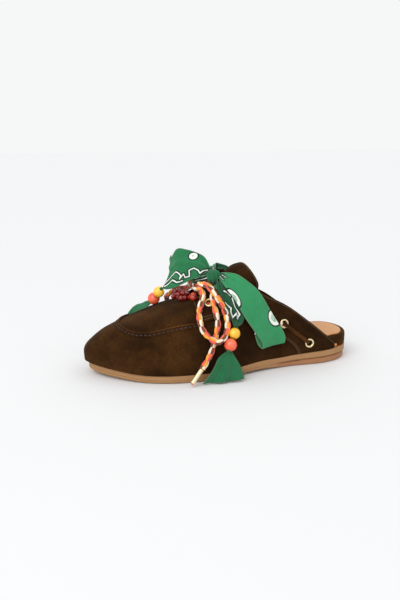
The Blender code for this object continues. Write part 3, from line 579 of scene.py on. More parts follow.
def on_last(turn, arch, lift):
    """A point off the last's skin, which has the slow waves that wear gives suede."""
    point = last_point(turn, arch)
    wave = 0.00035 * noise.noise(point * 34) + 0.00015 * noise.noise(point * 110)
    return point + last_normal(turn, arch) * (lift + wave * min(sin(arch) * 3, 1))


def arch_at_height(turn, height, side):
    along = along_of(turn)
    power = CROWN.at("outer" if side > 0 else "inner", along)
    arch = asin(ramp((height - bed_base(along)) / rise_of(turn), 0, 1) ** (power / 2))
    return arch if side > 0 else pi - arch


def arch_at_width(turn, x):
    along = along_of(turn)
    side = 1 if x >= middle(along) else -1
    column = "outer" if side > 0 else "inner"
    share = abs(x - middle(along)) / max(reach_of(turn, column), 1e-9)
    arch = acos(min(share, 1) ** (CROWN.at(column, along) / 2))
    return arch if side > 0 else pi - arch


def even_arches(turn, start, end, count):
    """Arch angles from start to end, evenly spaced along the section."""
    angles = [start + (end - start) * i / ARCH_STEPS for i in range(ARCH_STEPS + 1)]
    points = [last_point(turn, angle) for angle in angles]
    lengths = [0.0]
    for a, b in zip(points, points[1:]):
        lengths.append(lengths[-1] + (b - a).length)
    chosen, i = [], 0
    for k in range(count + 1):
        target = lengths[-1] * k / count
        while i < ARCH_STEPS - 1 and lengths[i + 1] < target:
            i += 1
        share = (target - lengths[i]) / max(lengths[i + 1] - lengths[i], 1e-9)
        chosen.append(angles[i] + (angles[i + 1] - angles[i]) * share)
    return chosen


def lowest(side, *arches):
    """The arch angle that is furthest down on this side of the shoe."""
    return min(arches) if side > 0 else max(arches)


def opening_edge(turn, side):
    """The arch angle of the upper's free edge: the throat's side, then the topline."""
    throat = arch_at_width(turn, side * THROAT_HALF)
    return lowest(side, throat, arch_at_height(turn, TOPLINE.at("height", along_of(turn)) * INSTEP, side))


def walled(piece, thickness, offset, rounded=0.0004):
    """The surface given its thickness, with its cut edges slightly rounded."""
    wall = piece.modifiers.new("wall", "SOLIDIFY")
    wall.thickness = thickness
    wall.offset = offset
    wall.use_rim = True
    if rounded:
        soft = piece.modifiers.new("cut_edge", "BEVEL")
        soft.width = rounded
        soft.segments = 2
        soft.angle_limit = radians(50)
    return applied(piece)


def fore_edge(turn, side):
    """The crown's edge in front of the throat, kept at the throat's share of the width."""
    centre = middle(along_of(turn))
    reach = abs(last_point(turn, 0 if side > 0 else pi).x - centre)
    return arch_at_width(turn, centre + side * THROAT_SHARE * max(reach, 1e-6))


throat = turn_of(THROAT_FRONT)
wing_end = turn_of(WING_END)
THROAT_SHARE = THROAT_HALF / (last_point(throat, 0).x - middle(THROAT_FRONT))
FORE_ROWS, REAR_ROWS, SIDE_COLUMNS, CROWN_COLUMNS = 70, 90, 24, 14
rear_turns = [throat + (wing_end - throat) * i / REAR_ROWS for i in range(REAR_ROWS + 1)]
rows = []
for turn in [pi + (throat - pi) * i / FORE_ROWS for i in range(FORE_ROWS)] + rear_turns:
    find_edge = fore_edge if turn >= throat else opening_edge
    outer, inner = find_edge(turn, 1), find_edge(turn, -1)
    arches = even_arches(turn, 0, outer, SIDE_COLUMNS)
    arches += even_arches(turn, outer, inner, CROWN_COLUMNS)[1:]
    arches += even_arches(turn, inner, pi, SIDE_COLUMNS)[1:]
    rows.append([on_last(turn, arch, 0) for arch in arches])


def has_skin(i, j):
    return i < FORE_ROWS or not SIDE_COLUMNS <= j < SIDE_COLUMNS + CROWN_COLUMNS


upper = walled(skin("upper_skin", rows, SUEDE, keep=has_skin), WALL, -1)

# Tongue: a broad padded suede flap that comes up through the slit and stands above it, with a stitched edge.
TONGUE = Table(
    ("share", "radius", "half", "drop"),
    (0.00, 0.247, 0.172, 0.000), (0.25, 0.236, 0.230, 0.000), (0.55, 0.218, 0.310, 0.000),
    (0.85, 0.202, 0.394, 0.012), (1.00, 0.197, 0.418, 0.028),
)
TONGUE_FRONT = 0.6775
TONGUE_TIP = 0.4234


def tongue_point(share, across, lift=0.0):
    """A point off the tongue's face. Across runs from -1, the inner edge, to 1, the outer one."""
    share -= 0.10 * abs(across) ** 4 * share
    radius = TONGUE.at("radius", share) * BALL_WIDTH * (1 + 0.22 * share ** 3) + lift
    reach = across * TONGUE.at("half", share) * BALL_WIDTH * (1 + 0.07 * share)
    bend = min(abs(reach) / radius, pi / 2)
    straight = max(abs(reach) - radius * pi / 2, 0)
    turn = turn_of(TONGUE_FRONT + (TONGUE_TIP - TONGUE_FRONT) * share)
    up = last_normal(turn, pi / 2)
    up = Vector((0, up.y, up.z)).normalized()
    crown = last_point(turn, pi / 2) + last_normal(turn, pi / 2) * (lift - WALL - 2 * GAP)
    side = 1 if across >= 0 else -1
    x = side * (radius * sin(bend) - 0.13 * straight) + 0.0013 * share
    fall = radius * (1 - cos(bend)) + straight + TONGUE.at("drop", share) * BALL_WIDTH
    bulge = 0.0038 * max(0, 1 - ((share - 0.84) / 0.22) ** 2) ** 2
    soft = 0.0004 * noise.noise(Vector((across * 3, share * 4, 5))) * share + bulge
    return crown - up * (fall - soft) + Vector((x, 0, 0))


rows = [[tongue_point(i / 60, 1 - 2 * j / 48) for j in range(49)] for i in range(61)]
tongue = skin("tongue_flap", rows, SUEDE)
fitted(walled(tongue, 0.0018, -1, 0.0006), "suede", "tongue")

# Facings and back panels: suede pieces sewn over the upper on both sides. The facings carry the lace eyelets
# and the back panels, which come under them, the strap eyelets.
PANEL_LIFT = 0.0006
PANEL_THICKNESS = 0.0012
FACING_EDGE = Table(
    ("along", "height"),
    (0.365, 0.720), (0.420, 0.640), (0.480, 0.585), (0.540, 0.548), (0.600, 0.515), (0.640, 0.500),
)
PANEL_EDGE = Table(
    ("along", "height"),
    (0.240, 0.100), (0.262, 0.200), (0.303, 0.290), (0.360, 0.410), (0.440, 0.560), (0.470, 0.610),
)
EDGE_MARGIN = 0.025
BACK_START = 18


def facing_span(turn, side):
    low = arch_at_height(turn, FACING_EDGE.at("height", along_of(turn)) * INSTEP, side)
    return low, opening_edge(turn, side) - side * EDGE_MARGIN


def back_span(turn, side):
    along = along_of(turn)
    low = arch_at_height(turn, PANEL_EDGE.at("height", along) * INSTEP, side) + side * EDGE_MARGIN
    facing = arch_at_height(turn, FACING_EDGE.at("height", along) * INSTEP - PANEL_THICKNESS, side)
    return low, lowest(side, facing, opening_edge(turn, side) - side * EDGE_MARGIN)


def panel(name, side, span, turns):
    grid = []
    for turn in turns:
        low, high = span(turn, side)
        if side * (high - low) > 0.03:
            ends = (low, high) if side > 0 else (high, low)
            grid.append([on_last(turn, arch, PANEL_LIFT) for arch in even_arches(turn, *ends, 16)])
    return walled(skin(name, grid, SUEDE), PANEL_THICKNESS, 1, 0.0003)


panels = {}
for side, word in SIDES:
    panels[f"facing_{word}"] = panel(f"facing_{word}_panel", side, facing_span, rear_turns)
    panels[f"back_panel_{word}"] = panel(f"back_{word}_panel", side, back_span, rear_turns[BACK_START:])

# Eyelets: pale brass rings with rolled lips, two for the lace on each facing and two for the strap on each
# back panel. Their barrels go through holes punched in the panel and the upper.
EYELET_OUTER = 0.0044
EYELET_INNER = 0.0028
BARREL, LIP_HEIGHT = 0.0022, 0.0009
EYELET_TOP = PANEL_LIFT + PANEL_THICKNESS + 2 * GAP
EYELETS = (
    ("eyelet_lower", 0.5722, 0.649),
    ("eyelet_upper", 0.5192, 0.755),
    ("eyelet_strap_front", 0.3022, 0.430),
    ("eyelet_strap_back", 0.2005, 0.225),
)


def seat(along, height, side):
    turn = turn_of(along)
    arch = arch_at_height(turn, height * INSTEP, side)
    return last_point(turn, arch), last_normal(turn, arch)


def lathe(name, profile, places, material, segments=48):
    """Closed rings turned from (radius, height) corners, one at each (centre, axis)."""
    mesh = bpy.data.meshes.new(name)
    with reworked(mesh) as work:
        for centre, axis in places:
            spin = axis.to_track_quat("Z", "Y").to_matrix()
            loops = []
            for turn in ring_turns(segments):
                corners = [centre + spin @ Vector((r * cos(turn), r * sin(turn), h)) for r, h in profile]
                loops.append([work.verts.new(corner) for corner in corners])
            for before, after in zip(loops, loops[1:] + loops[:1]):
                for a, b, c, d in zip(before, after, after[1:] + after[:1], before[1:] + before[:1]):
                    work.faces.new((a, b, c, d)).smooth = True
        bmesh.ops.recalc_face_normals(work, faces=work.faces)
    mesh.materials.append(material)
    return linked(name, mesh)


def brass_paint(place):
    smears = place.noise(420, 3)
    return {
        "Base Color": smears.blend(tint(232, 206, 152), tint(250, 232, 190)),
        "Roughness": smears.step(0.35, 0.75) * 0.18 + 0.28,
        "Normal": place.noise(1800, 2).bump(0.00008, 0.5),
    }


BRASS = finish("pale_brass", {"Metallic": 0.75}, brass_paint)

lip = [(EYELET_INNER, -BARREL), (EYELET_INNER, 0.0)]
centre_radius, half_width = (EYELET_INNER + EYELET_OUTER) / 2, (EYELET_OUTER - EYELET_INNER) / 2
for angle in range(15, 180, 15):
    lip.append((centre_radius - half_width * cos(radians(angle)), LIP_HEIGHT * sin(radians(angle))))
lip += [(EYELET_OUTER, 0.0), (EYELET_OUTER - 0.0002, -0.0002), (EYELET_INNER + 0.0005, -0.0002)]
lip += [(EYELET_INNER + 0.0005, -BARREL)]
names, places = [], []
for side, word in SIDES:
    for name, along, height in EYELETS:
        point, normal = seat(along, height, side)
        places.append((point + normal * EYELET_TOP, normal))
        names.append(f"{name}_{word}")
hole_radius = EYELET_INNER + 0.0007
rod = [(0.0, -0.008), (hole_radius, -0.008), (hole_radius, 0.006), (0.0, 0.006)]
punch = lathe("punch", rod, places, BRASS, 24)
with reworked(punch.data) as work:
    bmesh.ops.remove_doubles(work, verts=work.verts, dist=1e-6)
    bmesh.ops.dissolve_degenerate(work, edges=work.edges, dist=1e-7)
    bmesh.ops.recalc_face_normals(work, faces=work.faces)
for piece in (upper, *panels.values()):
    hole = piece.modifiers.new("punched", "BOOLEAN")
    hole.object = punch
    applied(piece)
    for face in piece.data.polygons:
        face.use_smooth = True
bpy.data.objects.remove(punch)
fitted(lathe("eyelet_rings", lip, places, BRASS), "pale_brass", *names)
fitted(upper, "suede", "upper")
for node, piece in panels.items():
    fitted(piece, "suede", node)

# Moccasin seam: the apron's edge stands up as a soft ridge round the toe, and below it the side's edge is
# gathered to it with a row of thick dark waxed stitches in a groove.
APRON_SEAM = Table(
    ("share", "across", "along"),
    (0.00, 0.380, 0.645), (0.13, 0.350, 0.735), (0.26, 0.290, 0.812), (0.38, 0.175, 0.868), (0.50, 0.000, 0.896),
    (0.62, -0.190, 0.882), (0.74, -0.325, 0.843), (0.87, -0.390, 0.775), (1.00, -0.410, 0.650),
)
RIDGE_TURNS, PUCKERS, RIDGE_FACES = 300, 46, 5
RIDGE_PROFILE = (
    (2.3, 0.0), (2.2, 0.7), (1.9, 1.3), (1.45, 1.65), (1.0, 1.5), (0.75, 1.0), (0.6, 0.4), (0.2, 0.12), (-0.5, 0.10),
    (-1.1, 0.18), (-1.6, 0.5), (-2.0, 0.55), (-2.4, 0.3), (-2.6, 0.0), (0.6, 0.0),
)
SUEDE_RIDGE = finish("suede_ridge", NAP, suede_paint, LIGHT_SHADE)


def seam_place(share, inside, lift):
    """A point beside the seam's line: inside it, towards the tongue, and off the last's skin."""

    def on_line(at):
        turn = turn_of((LENGTH * APRON_SEAM.at("along", at) - FEATHER_INSET) / UPPER_LENGTH)
        arch = arch_at_width(turn, APRON_SEAM.at("across", at) * BALL_WIDTH)
        return on_last(turn, arch, 0), last_normal(turn, arch)

    point, normal = on_line(share)
    ahead = on_line(min(share + 0.01, 1))[0] - on_line(max(share - 0.01, 0))[0]
    aside = ahead.cross(normal).normalized()
    return point + aside * inside + normal * lift


rows = []
for i in range(RIDGE_TURNS + 1):
    share = i / RIDGE_TURNS
    taper = min(share * 40, (1 - share) * 40, 1)
    pucker = 0.00022 * sin(share * 2 * pi * PUCKERS) * taper
    row = []
    for across, up in RIDGE_PROFILE:
        push = pucker if across < -0.4 else -pucker * 0.4
        row.append(seam_place(share, across * 0.001 + push, (0.0002 + up * 0.001 + push) * taper))
    rows.append(row)
seam = skin("apron_ridge", rows, SUEDE_RIDGE, closed=True)
seam.data.materials.append(SUEDE)
for k, polygon in enumerate(seam.data.polygons):
    polygon.material_index = 0 if k % len(RIDGE_PROFILE) < RIDGE_FACES else 1
fitted(capped(seam), "suede", "apron_seam")

# Stitching: waxed thread, one short round stitch after another along each seam and each turned edge.


def thread_paint(place, low, high):
    fibre = place.noise(2600, 2)
    return {"Base Color": fibre.blend(low, high), "Normal": fibre.bump(0.0002)}


def line_tree(name, kinds, build):
    """Geometry nodes that build pieces along the edges of a mesh, with inputs of these kinds by name."""
    tree = bpy.data.node_groups.new(name, "GeometryNodeTree")
    for title, kind in {"Line": "Geometry", **kinds}.items():
        tree.interface.new_socket(title, in_out="INPUT", socket_type=f"NodeSocket{kind}")
    tree.interface.new_socket("Made", in_out="OUTPUT", socket_type="NodeSocketGeometry")
    line, *given = (Signal(tree, socket) for socket in tree.nodes.new("NodeGroupInput").outputs[: len(kinds) + 1])
    line = line.geometry("MeshToCurve", Mesh=line)
    tree.links.new(build(line, *given).socket, tree.nodes.new("NodeGroupOutput").inputs[0])
    return tree


def stitch_row(line, pitch, length, width, thread):
    """Short round stitches laid along a line."""
    line = line.geometry("ResampleCurve", {"mode": "LENGTH"}, Curve=line, Length=pitch)
    turned = line.geometry("InputTangent")
    turned = turned.node("FunctionNodeAlignRotationToVector", {"axis": "X"}, {"Vector": turned})
    sizes = length.node("ShaderNodeCombineXYZ", {}, {"X": length * 0.5, "Y": width * 0.5, "Z": width * 0.5})
    stitch = line.geometry("MeshUVSphere", Segments=8, Rings=6, Radius=1.0)
    made = line.geometry("InstanceOnPoints", Points=line, Instance=stitch, Rotation=turned, Scale=sizes)
    made = made.geometry("SetShadeSmooth", Geometry=made.geometry("RealizeInstances", Geometry=made))
    return made.geometry("SetMaterial", Geometry=made, Material=thread)


def along_lines(name, lines, tree, values):
    """The plain mesh that a tree makes along lines of points, with its inputs set by name."""
    mesh = bpy.data.meshes.new(name)
    points, edges = [], []
    for line in lines:
        edges += [(len(points) + i, len(points) + i + 1) for i in range(len(line) - 1)]
        points += [tuple(point) for point in line]
    mesh.from_pydata(points, edges, [])
    piece = linked(name, mesh)
    nodes = piece.modifiers.new("made", "NODES")
    nodes.node_group = tree
    for item in tree.interface.items_tree:
        if item.name in values:
            nodes[item.identifier] = values[item.name]
    return applied(piece)


STITCH_INPUTS = {"Pitch": "Float", "Length": "Float", "Width": "Float", "Thread": "Material"}
STITCHES = line_tree("stitch_row", STITCH_INPUTS, stitch_row)
THREAD = {"Roughness": 0.6}
BROWN_THREAD = finish("brown_thread", THREAD, thread_paint, tint(94, 70, 48), tint(132, 102, 74))
WAXED_THREAD = finish("waxed_thread", {"Roughness": 0.45}, thread_paint, tint(40, 28, 30), tint(66, 50, 50))


def on_panel(turn, arch, over=PANEL_LIFT + PANEL_THICKNESS):
    return on_last(turn, arch, over + 0.00005)


TOP_INSET = 0.0018
lines = []
for side in (-1, 1):
    low, high = facing_span(rear_turns[1], side)
    lines.append([on_panel(rear_turns[1], low + (high - low) * k / 20) for k in range(1, 20)])
    for inside in (0.0016, 0.0034):
        lower = []
        for turn in rear_turns[1:70]:
            low, high = facing_span(turn, side)
            height = FACING_EDGE.at("height", along_of(turn)) * INSTEP + inside
            arch = arch_at_height(turn, height, side)
            if side * (high - arch) > 0.02:
                lower.append(on_panel(turn, arch))
        lines.append(lower)
    top = []
    for turn in rear_turns[1:]:
        topline = arch_at_height(turn, TOPLINE.at("height", along_of(turn)) * INSTEP - TOP_INSET, side)
        arch = lowest(side, arch_at_width(turn, side * (THROAT_HALF + TOP_INSET)), topline)
        if arch_at_height(turn, 0.004 + sole_top(along_of(turn)), side) * side < arch * side:
            top.append(on_panel(turn, arch))
    lines.append(top)
    for inside in (0.0014, 0.0032):
        seam_line = []
        for k in range(46):
            along = 0.243 + (0.470 - 0.243) * k / 45 - inside / LENGTH
            turn = turn_of(along)
            height = PANEL_EDGE.at("height", along + inside / LENGTH) * INSTEP + 0.0004
            facing = FACING_EDGE.at("height", along) * INSTEP - 0.001
            if height < min(facing, TOPLINE.at("height", along) * INSTEP - 0.003):
                seam_line.append(on_panel(turn, arch_at_height(turn, height, side)))
        lines.append(seam_line)
tack_place = top[-1]
round_edge = [(0.30 + 0.66 * k / 30, 0.93) for k in range(31)]
round_edge += [(0.975, 0.90 - 1.80 * k / 40) for k in range(41)]
round_edge += [(share, -across) for share, across in round_edge[30::-1]]
lines.append([tongue_point(share, across, 0.0001) for share, across in round_edge])
sizes = {"Pitch": 0.0026, "Length": 0.0021, "Width": 0.0005, "Thread": BROWN_THREAD}
fitted(along_lines("edge_stitching", lines, STITCHES, sizes), "suede")
groove = [seam_place(0.006 + 0.955 * k / 240, -0.0007, 0.0006) for k in range(241)]
sizes = {"Pitch": 0.0040, "Length": 0.0031, "Width": 0.0011, "Thread": WAXED_THREAD}
fitted(along_lines("groove_stitching", [groove], STITCHES, sizes), "suede")

# Strap thongs: a narrow strip of lighter suede on each side, laced from one strap eyelet to the other.
THONG_HALF_WIDTH, THONG_HALF_DEPTH = 0.0018, 0.0006
THONG_ROUTE = (
    (0, -0.0012), (0.03, 0.0004), (0.12, 0.0021), (0.3, 0.0009), (0.5, 0.0008), (0.7, 0.0010), (0.88, 0.0022),
    (0.97, 0.0004), (1, -0.0012),
)
THONG_SUEDE = finish("thong_suede", NAP, suede_paint, 1.45)


def spline(points, steps=12):
    """A smooth line through points, with steps pieces from each to the next."""
    stops = Table(("stop", "x", "y", "z"), *((i, *point) for i, point in enumerate(points)))
    places = [i / steps for i in range((len(points) - 1) * steps + 1)]
    return [Vector([stops.at(axis, place) for axis in "xyz"]) for place in places]


for side, word in SIDES:
    path, normals = [], []
    for share, lift in THONG_ROUTE:
        along, height = (start + (end - start) * share for start, end in zip(EYELETS[2][1:], EYELETS[3][1:]))
        point, normal = seat(along, height, side)
        path.append(point + normal * (EYELET_TOP + lift))
        normals.append(normal)
    path, normals = spline(path, 8), spline(normals, 8)
    rows = []
    for i, (point, normal) in enumerate(zip(path, normals)):
        ahead = path[min(i + 1, len(path) - 1)] - path[max(i - 1, 0)]
        aside = normal.cross(ahead).normalized()
        up = ahead.cross(aside).normalized()
        aside, up = aside * THONG_HALF_WIDTH, up * THONG_HALF_DEPTH
        flat = [(abs(cos(turn)) ** 0.6 * (1 if cos(turn) > 0 else -1), sin(turn)) for turn in ring_turns(14)]
        rows.append([point + aside * x + up * y for x, y in flat])
    fitted(capped(skin(f"thong_{word}_strip", rows, THONG_SUEDE, closed=True)), "suede", f"thong_{word}")

# Lace: one round braid of four strands, cream and coral one way about and yellow and brown the other. It comes
# up through the lower eyelets and the slit, and is tied in a bow with two loops and two ends.
BRAID_PITCH, BRAID_STEP = 0.0250, 0.0009


def strand_paint(place, low, high):
    fibre = place.noise(1900, 2, 0.6)
    ply = place.noise(700, 2)
    return {
        "Base Color": (fibre * 0.6 + ply * 0.4).blend(low, high),
        "Roughness": fibre * 0.2 + 0.68,
        "Normal": (fibre + ply * 0.6).bump(0.0004),
    }


COTTON = {"Sheen Weight": 0.25, "Sheen Roughness": 0.4}
STRANDS = (
    ("cream_strand", tint(226, 208, 180), tint(252, 243, 226), 1, 0),
    ("coral_strand", tint(222, 70, 56), tint(248, 112, 92), 1, pi),
    ("yellow_strand", tint(226, 138, 30), tint(248, 176, 62), -1, pi / 2),
    ("brown_strand", tint(92, 46, 24), tint(134, 74, 42), -1, 3 * pi / 2),
)


def plait(line, radius, orbit, weave, pitch):
    """The four strands plaited along a line."""
    line = line.geometry("ResampleCurve", {"mode": "LENGTH"}, Curve=line, Length=BRAID_STEP)
    ahead, aside = line.geometry("InputTangent"), line.geometry("InputNormal")
    around = ahead.vectors("CROSS_PRODUCT", aside)
    turns = line.node("GeometryNodeSplineParameter", {}, {}, out=1) / pitch * (2 * pi)
    bob = (turns * 2).maths("COSINE")
    ring = radius.geometry("CurvePrimitiveCircle", Resolution=8, Radius=radius)
    joined = line.tree.nodes.new("GeometryNodeJoinGeometry")
    for name, low, high, hand, phase in STRANDS:
        angle = turns * hand + phase
        reach = bob * weave * hand + orbit
        parts = []
        for way, share in ((aside, angle.maths("COSINE")), (around, angle.maths("SINE"))):
            parts.append(way.node("ShaderNodeVectorMath", {"operation": "SCALE"}, {0: way, "Scale": share * reach}))
        strand = line.geometry("SetPosition", Geometry=line, Offset=parts[0].vectors("ADD", parts[1]))
        strand = strand.geometry("CurveToMesh", Curve=strand, Profile_Curve=ring, Fill_Caps=True)
        strand = strand.geometry("SetShadeSmooth", Geometry=strand)
        paint = finish(name, COTTON, strand_paint, low, high)
        strand = strand.geometry("SetMaterial", Geometry=strand, Material=paint)
        line.tree.links.new(strand.socket, joined.inputs[0])
    return line.geometry("RealizeInstances", Geometry=Signal(line.tree, joined.outputs[0]))


BRAID = line_tree("braid", dict.fromkeys(("Strand Radius", "Orbit", "Weave", "Pitch"), "Float"), plait)
BRAID_SIZES = {"Strand Radius": 0.00152, "Orbit": 0.00102, "Weave": 0.00024, "Pitch": BRAID_PITCH}


def length_of(points):
    return sum((b - a).length for a, b in zip(points, points[1:]))


def laced(name, points, node):
    """A stretch of the lace along a route."""
    line = spline(points)
    cord = fitted(along_lines(name, [line], BRAID, BRAID_SIZES), "lace_cord", node)
    length_of(line)


LOOP_OUTER = (
    (0.0077, -0.1215, 0.0767), (0.0155, -0.1187, 0.0772), (0.0220, -0.1192, 0.0723), (0.0264, -0.1225, 0.0660),
    (0.0315, -0.1254, 0.0600), (0.0365, -0.1263, 0.0533), (0.0415, -0.1250, 0.0467), (0.0467, -0.1210, 0.0415),
    (0.0501, -0.1148, 0.0377), (0.0474, -0.1074, 0.0401), (0.0439, -0.1034, 0.0464), (0.0403, -0.1022, 0.0539),
    (0.0368, -0.1036, 0.0613), (0.0340, -0.1067, 0.0686), (0.0312, -0.1105, 0.0755), (0.0248, -0.1133, 0.0799),
    (0.0170, -0.1159, 0.0817), (0.0091, -0.1186, 0.0812),
)
LOOP_INNER = (
    (-0.0100, -0.1214, 0.0769), (-0.0174, -0.1181, 0.0772), (-0.0230, -0.1194, 0.0714), (-0.0277, -0.1227, 0.0652),
    (-0.0326, -0.1251, 0.0588), (-0.0367, -0.1243, 0.0515), (-0.0403, -0.1197, 0.0455), (-0.0424, -0.1131, 0.0412),
    (-0.0387, -0.1065, 0.0441), (-0.0353, -0.1028, 0.0508), (-0.0324, -0.1016, 0.0586), (-0.0303, -0.1040, 0.0663),
    (-0.0299, -0.1080, 0.0737), (-0.0259, -0.1120, 0.0796), (-0.0185, -0.1152, 0.0821), (-0.0108, -0.1184, 0.0814),
)
END_OUTER = (
    (0.0048, -0.1148, 0.0797), (0.0116, -0.1099, 0.0797), (0.0192, -0.1096, 0.0767), (0.0258, -0.1112, 0.0717),
    (0.0315, -0.1116, 0.0655), (0.0359, -0.1110, 0.0583), (0.0392, -0.1105, 0.0505), (0.0418, -0.1127, 0.0428),
    (0.0441, -0.1157, 0.0352), (0.0466, -0.1189, 0.0279), (0.0498, -0.1236, 0.0216), (0.0515, -0.1288, 0.0152),
)
END_INNER = (
    (-0.0032, -0.1267, 0.0752), (-0.0087, -0.1326, 0.0735), (-0.0140, -0.1378, 0.0698), (-0.0201, -0.1406, 0.0651),
    (-0.0276, -0.1402, 0.0618), (-0.0345, -0.1382, 0.0577), (-0.0397, -0.1358, 0.0518), (-0.0424, -0.1339, 0.0442),
    (-0.0433, -0.1325, 0.0361), (-0.0438, -0.1312, 0.0281), (-0.0474, -0.1305, 0.0207),
)
TIPS = {"outer": Vector((0.0533, -0.1383, 0.0035)), "inner": Vector((-0.0504, -0.1353, 0.0040))}
KNOT, KNOT_TURNS = Vector((0.0004, -0.1215, 0.0783)), 2.3

lowered = []
for side in (1, -1):
    point, normal = seat(*EYELETS[0][1:], side)
    lowered.append([point + normal * 0.0004, point - normal * 0.0030 - Vector((side * 0.001, 0, 0))])
(outer_eye, outer_under), (inner_eye, inner_under) = lowered
bar = [outer_eye, outer_under, Vector((0.0110, -0.1150, 0.0690)), Vector((0.0045, -0.1160, 0.0722))]
bar += [Vector((-0.0045, -0.1160, 0.0722)), Vector((-0.0110, -0.1150, 0.0690)), inner_under, inner_eye]
laced("lace_through_eyelets", bar, "lace_bar")

knot_points = []
for i in range(25):
    turn = 2 * pi * KNOT_TURNS * i / 24 - pi / 2
    across = -0.0036 + 0.0090 * i / 24
    knot_points.append(KNOT + Vector((across, 0.0030 * cos(turn), 0.0008 + 0.0028 * sin(turn))))
knot = fitted(along_lines("lace_bow_knot", [spline(knot_points)], BRAID, BRAID_SIZES), "lace_cord", "lace_knot")

AGLET_LENGTH = 0.0113
AGLET_PROFILE = [
    (0.0017, 0.0), (0.00195, 0.0002), (0.0020, 0.0006), (0.00195, 0.0010), (0.0019, 0.0014), (0.0020, 0.0108),
    (0.0019, 0.0112), (0.0014, AGLET_LENGTH),
]
STUB = [(0.0, -0.0014), (0.0010, -0.0012), (0.0013, -0.0004), (0.0012, 0.0012), (0.0, 0.0012)]
AGLET = finish("aglet_metal", {"Metallic": 0.75}, brass_paint)
CUT_END = finish("cut_end", COTTON, strand_paint, tint(222, 70, 56), tint(248, 112, 92))
for word, points in (("outer", END_OUTER), ("inner", END_INNER)):
    start, tip = Vector(points[-1]), TIPS[word]
    axis = (start - tip).normalized()
    span = (start - tip).length - 0.0006
    profile = [(r, h * span / AGLET_LENGTH) for r, h in AGLET_PROFILE] + [(0.0, span), (0.0, 0.0)]
    tube = lathe(f"aglet_{word}_tube", profile, [(tip, axis)], AGLET, 24)
    fitted(outward(tube), "aglet_metal", f"aglet_{word}")
    fitted(outward(lathe(f"cut_end_{word}", STUB, [(tip, axis)], CUT_END, 16)), "lace_cord")
laced("lace_outer_loop", LOOP_OUTER, "lace_loop_outer")
laced("lace_inner_loop", LOOP_INNER, "lace_loop_inner")
laced("lace_outer_end", END_OUTER, "lace_end_outer")
laced("lace_inner_end", END_INNER, "lace_end_inner")

# Bandana: one long strip of printed green cotton, tied round the instep over the lace. Its knot gathers two
# loops and two tails, and each tail is threaded through two beads and left as a raw end.
STAND_OFF = 0.100
CLOTH = 0.0008
CLOTH_UNIT = 0.2
YARN_PITCH = 0.0007
COTTON_TONES = ((26, 112, 66), (66, 160, 106), (104, 142, 104))
BAND_COLUMNS = ("low_along", "low_over", "low_lift", "top_along", "top_over", "top_lift", "drop")


def route(*rows):
    """A strip's two edges at each stop, and its drop where it has one."""
    return Table(("stop", *BAND_COLUMNS), *((i, *row, 0)[: len(BAND_COLUMNS) + 1] for i, row in enumerate(rows)))


def off_last(along, over, lift, drop=0.0, side=1):
    turn, arch = turn_of(along), pi * (over if side > 0 else 1 - over)
    return last_point(turn, arch) + last_normal(turn, arch) * lift * STAND_OFF - Vector((0, 0, drop * STAND_OFF))


class Strokes:
    """The print: how far a place on the cloth is from its white strokes and ovals, which have dark outlines."""

    def __init__(self, cloth_place):
        self.u, self.v, self.near = cloth_place.axis("X"), cloth_place.axis("Y"), None

    def add(self, distance):
        self.near = distance if self.near is None else self.near.maths("MINIMUM", distance)

    def oval(self, u, v, half_length, half_width):
        across, down = (self.u - u) / half_length, (self.v - v) / half_width
        reach = (across * across + down * down).maths("SQRT")
        self.add((reach - 1) * min(half_length, half_width))

    def line(self, start, end, half=0.0005):
        run, rise = end[0] - start[0], end[1] - start[1]
        across, down = self.u - start[0], self.v - start[1]
        along = (across * run + down * rise) / (run * run + rise * rise)
        along = along.maths("MINIMUM", 1.0).maths("MAXIMUM", 0.0)
        across, down = across - along * run, down - along * rise
        self.add((across * across + down * down).maths("SQRT") - half)


def cotton_paint(place, ovals, lines, shade, hemmed):
    """Plain weave green cotton, printed with white ovals and strokes, with a duller hem along both edges."""
    flat = place.node("ShaderNodeUVMap", {"uv_map": "cloth"}, {})
    flat = flat.vectors("MULTIPLY_ADD", (CLOTH_UNIT,) * 3, (0, -CLOTH_UNIT / 2, 0))
    warp, weft = ((flat.axis(letter) * (2 * pi / YARN_PITCH)).maths("SINE") for letter in "XY")
    weave = warp * weft
    clouds = place.noise(90, 3)
    slub = place.noise(1600, 2)
    # a shade below 1 darkens all the cloth of a piece: painted shade on the pieces that lie in shade
    low, high, hem = (tint(*[c * shade for c in colour]) for colour in COTTON_TONES)
    green = (clouds * 0.45 + slub * 0.55).blend(low, high)
    if hemmed:
        share = place.node("ShaderNodeUVMap", {"uv_map": "edge"}, {}).axis("Y")
        green = (1 - (share * (1 - share)).step(0.008, 0.024)).blend(green, hem)
    if ovals or lines:
        marks = Strokes(flat)
        for oval in ovals:
            marks.oval(*oval)
        for line in lines:
            marks.line(*line)
        white = 1 - marks.near.step(-0.0001, 0.0002)
        dark = 1 - marks.near.step(0.0008, 0.0014)
        inside = 1 - marks.near.step(-0.0026, -0.0019)
        green = white.blend(dark.blend(green, tint(16, 46, 32)), tint(232, 238, 228))
        green = (inside * slub.step(0.40, 0.56)).blend(green, tint(72, 150, 100))
    return {
        "Base Color": green,
        "Roughness": slub * 0.15 + 0.78,
        "Normal": (weave * 0.35 + slub * 0.8 + clouds).bump(0.0003, 0.8),
    }


def cotton(name, ovals=(), lines=(), shade=1.0, hemmed=True):
    settings = {"Sheen Weight": 0.2, "Sheen Roughness": 0.5, "Specular IOR Level": 0.15}
    return finish(name, settings, cotton_paint, ovals, lines, shade, hemmed)


def edge_at(table, edge_name, stop):
    """A place on one edge of a table's strip: along, over and lift."""
    return Vector([table.at(f"{edge_name}_{column}", stop) for column in ("along", "over", "lift")])


